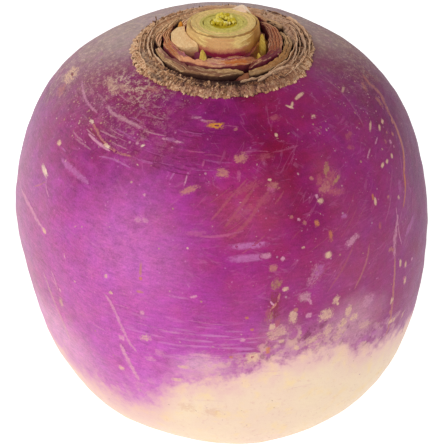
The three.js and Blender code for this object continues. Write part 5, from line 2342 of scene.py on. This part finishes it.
class MarkFinish:
    """A mark: the skin's own colour turning into the mark's towards its middle, with a ragged edge."""

    def build(self, groups: SharedGroups) -> Material:
        """Builds the material.

        Args:
            groups: the shared groups.

        Returns:
            The material.
        """
        material, g, shader = new_material("skin_mark", SHEEN)
        skin = g.group(groups.skin)
        point = g.group(groups.place)["Point"]
        core, ragged, strength = (g.attribute(name) for name in ("core", "ragged", "strength"))
        small = g.noise(point, 1.5, 3.0, 0.65)
        grain = g.noise(point, 4.0, 3.0, 0.65)
        local = g.attribute("local", "Vector")
        offset = g.vector("MULTIPLY_ADD", local, (2.2, 6.0, 0.0), g.vector("SCALE", point, Scale=0.12))
        grooves = g.noise(offset, 1.0, 2.0, 0.6)
        wander = g.add(g.mul(small, 0.45), g.add(g.mul(grain, 0.3), g.mul(grooves, 0.25)))
        inside = g.add(core, g.mul(g.sub(wander, 0.53), g.mul(ragged, 3.8)))
        mask = g.mul(g.ramp(inside, 0.0, 0.6), g.ramp(core, 0.0, 0.25))
        texture = g.add(0.1, g.add(g.mul(grooves, 0.9), g.mul(grain, 0.8)))
        mask = g.mul(g.mul(mask, strength), texture, clamp=True)
        tinted = g.shade(g.attribute("tone", "Vector"), g.add(0.7, g.mul(small, 0.6)))
        g.feed(shader["Base Color"], g.mix(mask, skin["Color"], tinted))
        g.feed(shader["Roughness"], g.add(skin["Roughness"], g.mul(mask, 0.15)))
        g.feed(shader["Normal"], g.bump(skin["Height"], *SKIN_GRAIN))
        return material


FRECKLE_TONES = ((0.0, "#b5809c"), (0.35, "#c08d97"), (0.6, "#c9a08c"), (0.85, "#ae7f62"), (1.0, "#ddb9a4"))


class FreckleFinish:
    """A freckle of cork: cream, pink or tan."""

    def build(self, groups: SharedGroups) -> Material:
        """Builds the material.

        Args:
            groups: the shared groups.

        Returns:
            The material.
        """
        material, g, shader = new_material("skin_freckle", SHEEN, 0.6)
        share = g.mul(g.ramp(g.attribute("core"), 0.0, 0.35), 0.7)
        tone = g.stops(g.attribute("shade"), FRECKLE_TONES)
        g.feed(shader["Base Color"], g.mix(share, g.group(groups.skin)["Color"], tone))
        return material


@dataclass
class SkinMarks:
    """Every scar, lenticel, scratch and freckle of the skin."""

    groups: SharedGroups
    draping: Draping
    skin: Obj
    margin: float = 1.25

    def build(self) -> None:
        """Builds the marks one by one and scatters the freckles."""
        rings = ((1.0, -0.02), (0.9, 0.010), (0.62, 0.014), (0.3, 0.016))
        lens = build_lens(28, rings, 2.6)
        finish = MarkFinish().build(self.groups)
        points = self.points("skin_marks", [Mark(*row) for row in MARKS] + self.dots())
        marks = grow(points, self.draping.placed, Skin=self.skin, Lens=lens, Material=finish)
        bpy.data.objects.remove(lens)
        settle(marks, finish)
        lines = joined("skin_trails", [trail.solid() for trail in (*TRAILS, *self.hairlines())])
        settle(grow(lines, self.draping.drape, Skin=self.skin), finish)
        freckle = FreckleFinish().build(self.groups)
        dot = (8, ((1.0, -0.015), (0.6, 0.012)))
        spots = self.draping.scatter("skin_freckles", self.skin, dot, freckle, Density=1.1e6)
        settle(spots, freckle)

    @staticmethod
    def dots() -> list[Mark]:
        """Builds the small pale dots, each a little different.

        Returns:
            The marks.
        """
        rng = np.random.default_rng(SEED + 1)
        tones = (Tone.PALE_PINK, Tone.TAN, Tone.CREAM, Tone.TAN)
        made = []
        for azimuth, height in DOTS:
            size = rng.uniform(0.7, 1.15)
            flat = rng.uniform(0.65, 1)
            tone = tones[rng.integers(len(tones))]
            turn, strength = rng.uniform(0, 180), rng.uniform(0.55, 0.85)
            made.append(Mark(azimuth, height, size, size * flat, turn, tone, strength, 0.7))
        return made

    @staticmethod
    def hairlines() -> list[Trail]:
        """Scatters fine scratches over the skin, area by area.

        Returns:
            The scratches.
        """
        rng = np.random.default_rng(SEED + 2)
        made = []
        for count, low, high, bottom, top, drop, tone, strength in SCRATCHES:
            for _ in range(count):
                azimuth, height = rng.uniform(low, high), rng.uniform(bottom, top)
                reach, fall = rng.uniform(3, 12), drop * rng.uniform(0.6, 1.4) + rng.uniform(-0.04, 0.04)
                deep, bow = reach * fall * DEGREE_ON_SKIN, rng.uniform(-0.6, 0.6)
                knots = ((azimuth + reach * t, height - deep * t + bow * t * (1 - t)) for t in (0, 0.5, 1))
                width, share = rng.uniform(0.2, 0.6), rng.uniform(0.4, 1)
                made.append(Trail(tuple(knots), width, tone, strength * share, 0.9))
        return made

    def points(self, name: str, marks: Sequence[Mark]) -> Obj:
        """Builds the loose points that carry the marks' sizes and colours.

        Args:
            name: the object's name.
            marks: the marks.

        Returns:
            An object of one vertex for each mark.
        """
        places, facing, size = [], [], []
        for mark in marks:
            place, matrix = self.frame_at(mark)
            places.append(place)
            facing.append(tuple(matrix.to_euler()))
            size.append((mark.length / 2 * self.margin * MM, mark.width / 2 * self.margin * MM, 1.0))
        tones = np.array([tint(m.tone.value)[:3] for m in marks])
        numbers = {"facing": np.array(facing), "size": np.array(size), "tone": tones}
        for key in ("strength", "ragged", "bend", "relief"):
            numbers[key] = np.array([getattr(m, key) for m in marks])
        return make_object(name, np.array(places), [], numbers)

    @staticmethod
    def frame_at(mark: Mark) -> tuple[Array, Matrix]:
        """Gives a mark's place in millimetres and its turn, with X along the mark and Z off the skin.

        Args:
            mark: the mark.

        Returns:
            Its place, and the matrix that turns it from flat on X and Y onto the skin.
        """
        step = 0.05
        middle = FORM.on_skin(np.array(mark.azimuth), np.array(mark.height))
        across = FORM.on_skin(np.array(mark.azimuth + step), np.array(mark.height)) - middle
        up = FORM.on_skin(np.array(mark.azimuth), np.array(mark.height + step)) - middle
        x = Vector(across).normalized()
        z = x.cross(Vector(up)).normalized()
        y = z.cross(x)
        turn = math.radians(mark.turn)
        along = x * math.cos(turn) + y * math.sin(turn)
        aside = z.cross(along)
        return middle, Matrix((along, aside, z)).transposed()


# ---- The studio ----


@dataclass(frozen=True)
class Studio:
    """Floor, lights and camera."""

    camera_distance: float = 360.0
    camera_rise: float = 34.6
    focal_length: float = 131.8
    aim_below: float = 3.07
    floor_glow: float = 0.85
    surround: float = 0.36
    floor_reach: float = 15000.0

    def build(self) -> None:
        """Builds everything."""
        self.build_floor()
        self.build_world()
        self.build_lights()
        self.build_camera()

    def build_floor(self) -> None:
        """Builds a plain white floor."""
        half = self.floor_reach
        corners = np.array([(-half, -half, 0), (half, -half, 0), (half, half, 0), (-half, half, 0)], float)
        floor = make_object("floor", corners, [(0, 1, 2, 3)])
        material, _, shader = new_material("white_floor", 0.0, 0.9)
        shader["Base Color"].default_value = (0.5, 0.5, 0.5, 1)
        shader["Emission Color"].default_value = (1, 1, 1, 1)
        shader["Emission Strength"].default_value = self.floor_glow
        floor.data.materials.append(material)

    def build_world(self) -> None:
        """Builds a plain white surround."""
        world = bpy.data.worlds.new("studio")
        world.use_nodes = True
        back = world.node_tree.nodes["Background"]
        back.inputs["Color"].default_value = (1, 1, 1, 1)
        back.inputs["Strength"].default_value = self.surround
        bpy.context.scene.world = world

    @staticmethod
    def add_light(name: str, azimuth: float, rise: float, distance: float, size: float, power: float) -> None:
        """Adds a square soft white light that looks at the root.

        Args:
            name: the light's name.
            azimuth: degrees from the front towards +X.
            rise: degrees above the floor.
            distance: millimetres from the root's middle.
            size: the side of the square, in millimetres.
            power: watts.
        """
        lamp = bpy.data.lights.new(name, "AREA")
        lamp.shape, lamp.size, lamp.energy = "SQUARE", size * MM, power
        obj = bpy.data.objects.new(name, lamp)
        bpy.context.scene.collection.objects.link(obj)
        a, e = math.radians(azimuth), math.radians(rise)
        away = Vector((math.sin(a) * math.cos(e), -math.cos(a) * math.cos(e), math.sin(e)))
        obj.location = Vector((0, 0, FORM.equator * MM)) + away * distance * MM
        obj.rotation_euler = away.to_track_quat("Z", "Y").to_euler()

    def build_lights(self) -> None:
        """Builds a large key from the left front, a rim from the left back and a weak fill."""
        self.add_light("key", -38, 42, 800, 700, 3.4)
        self.add_light("left_rim", -118, 22, 700, 500, 1.0)
        self.add_light("fill", 50, 25, 900, 700, 0.9)

    def build_camera(self) -> None:
        """Builds the camera."""
        lens = bpy.data.cameras.new("camera")
        lens.lens, lens.sensor_width, lens.clip_start, lens.clip_end = self.focal_length, 36.0, 0.01, 20.0
        camera = bpy.data.objects.new("camera", lens)
        bpy.context.scene.collection.objects.link(camera)
        rise = math.radians(self.camera_rise)
        back = Vector((0, -math.cos(rise), math.sin(rise)))
        up = Vector((0, math.sin(rise), math.cos(rise)))
        middle = Vector((FORM.lean * FORM.equator, 0, FORM.equator))
        stand = middle + back * self.camera_distance
        aim = middle - up * self.aim_below
        camera.location = stand * MM
        camera.rotation_euler = (stand - aim).to_track_quat("Z", "Y").to_euler()
        bpy.context.scene.camera = camera


def show_colours_plainly() -> None:
    """Shows colours as they are, with no film curve."""
    bpy.context.scene.view_settings.view_transform = "Standard"


def main() -> None:
    """Builds the turnip piece by piece, then the studio."""
    logging.basicConfig(level=logging.INFO, format="%(message)s")
    show_colours_plainly()
    groups, draping = SharedGroups(), Draping()
    skin = settle(Root().build(), SkinFinish().build(groups), ("root",))
    SkinMarks(groups, draping, skin).build()
    Crown(groups, draping).build()
    Studio().build()


if __name__ == "__main__":
    main()
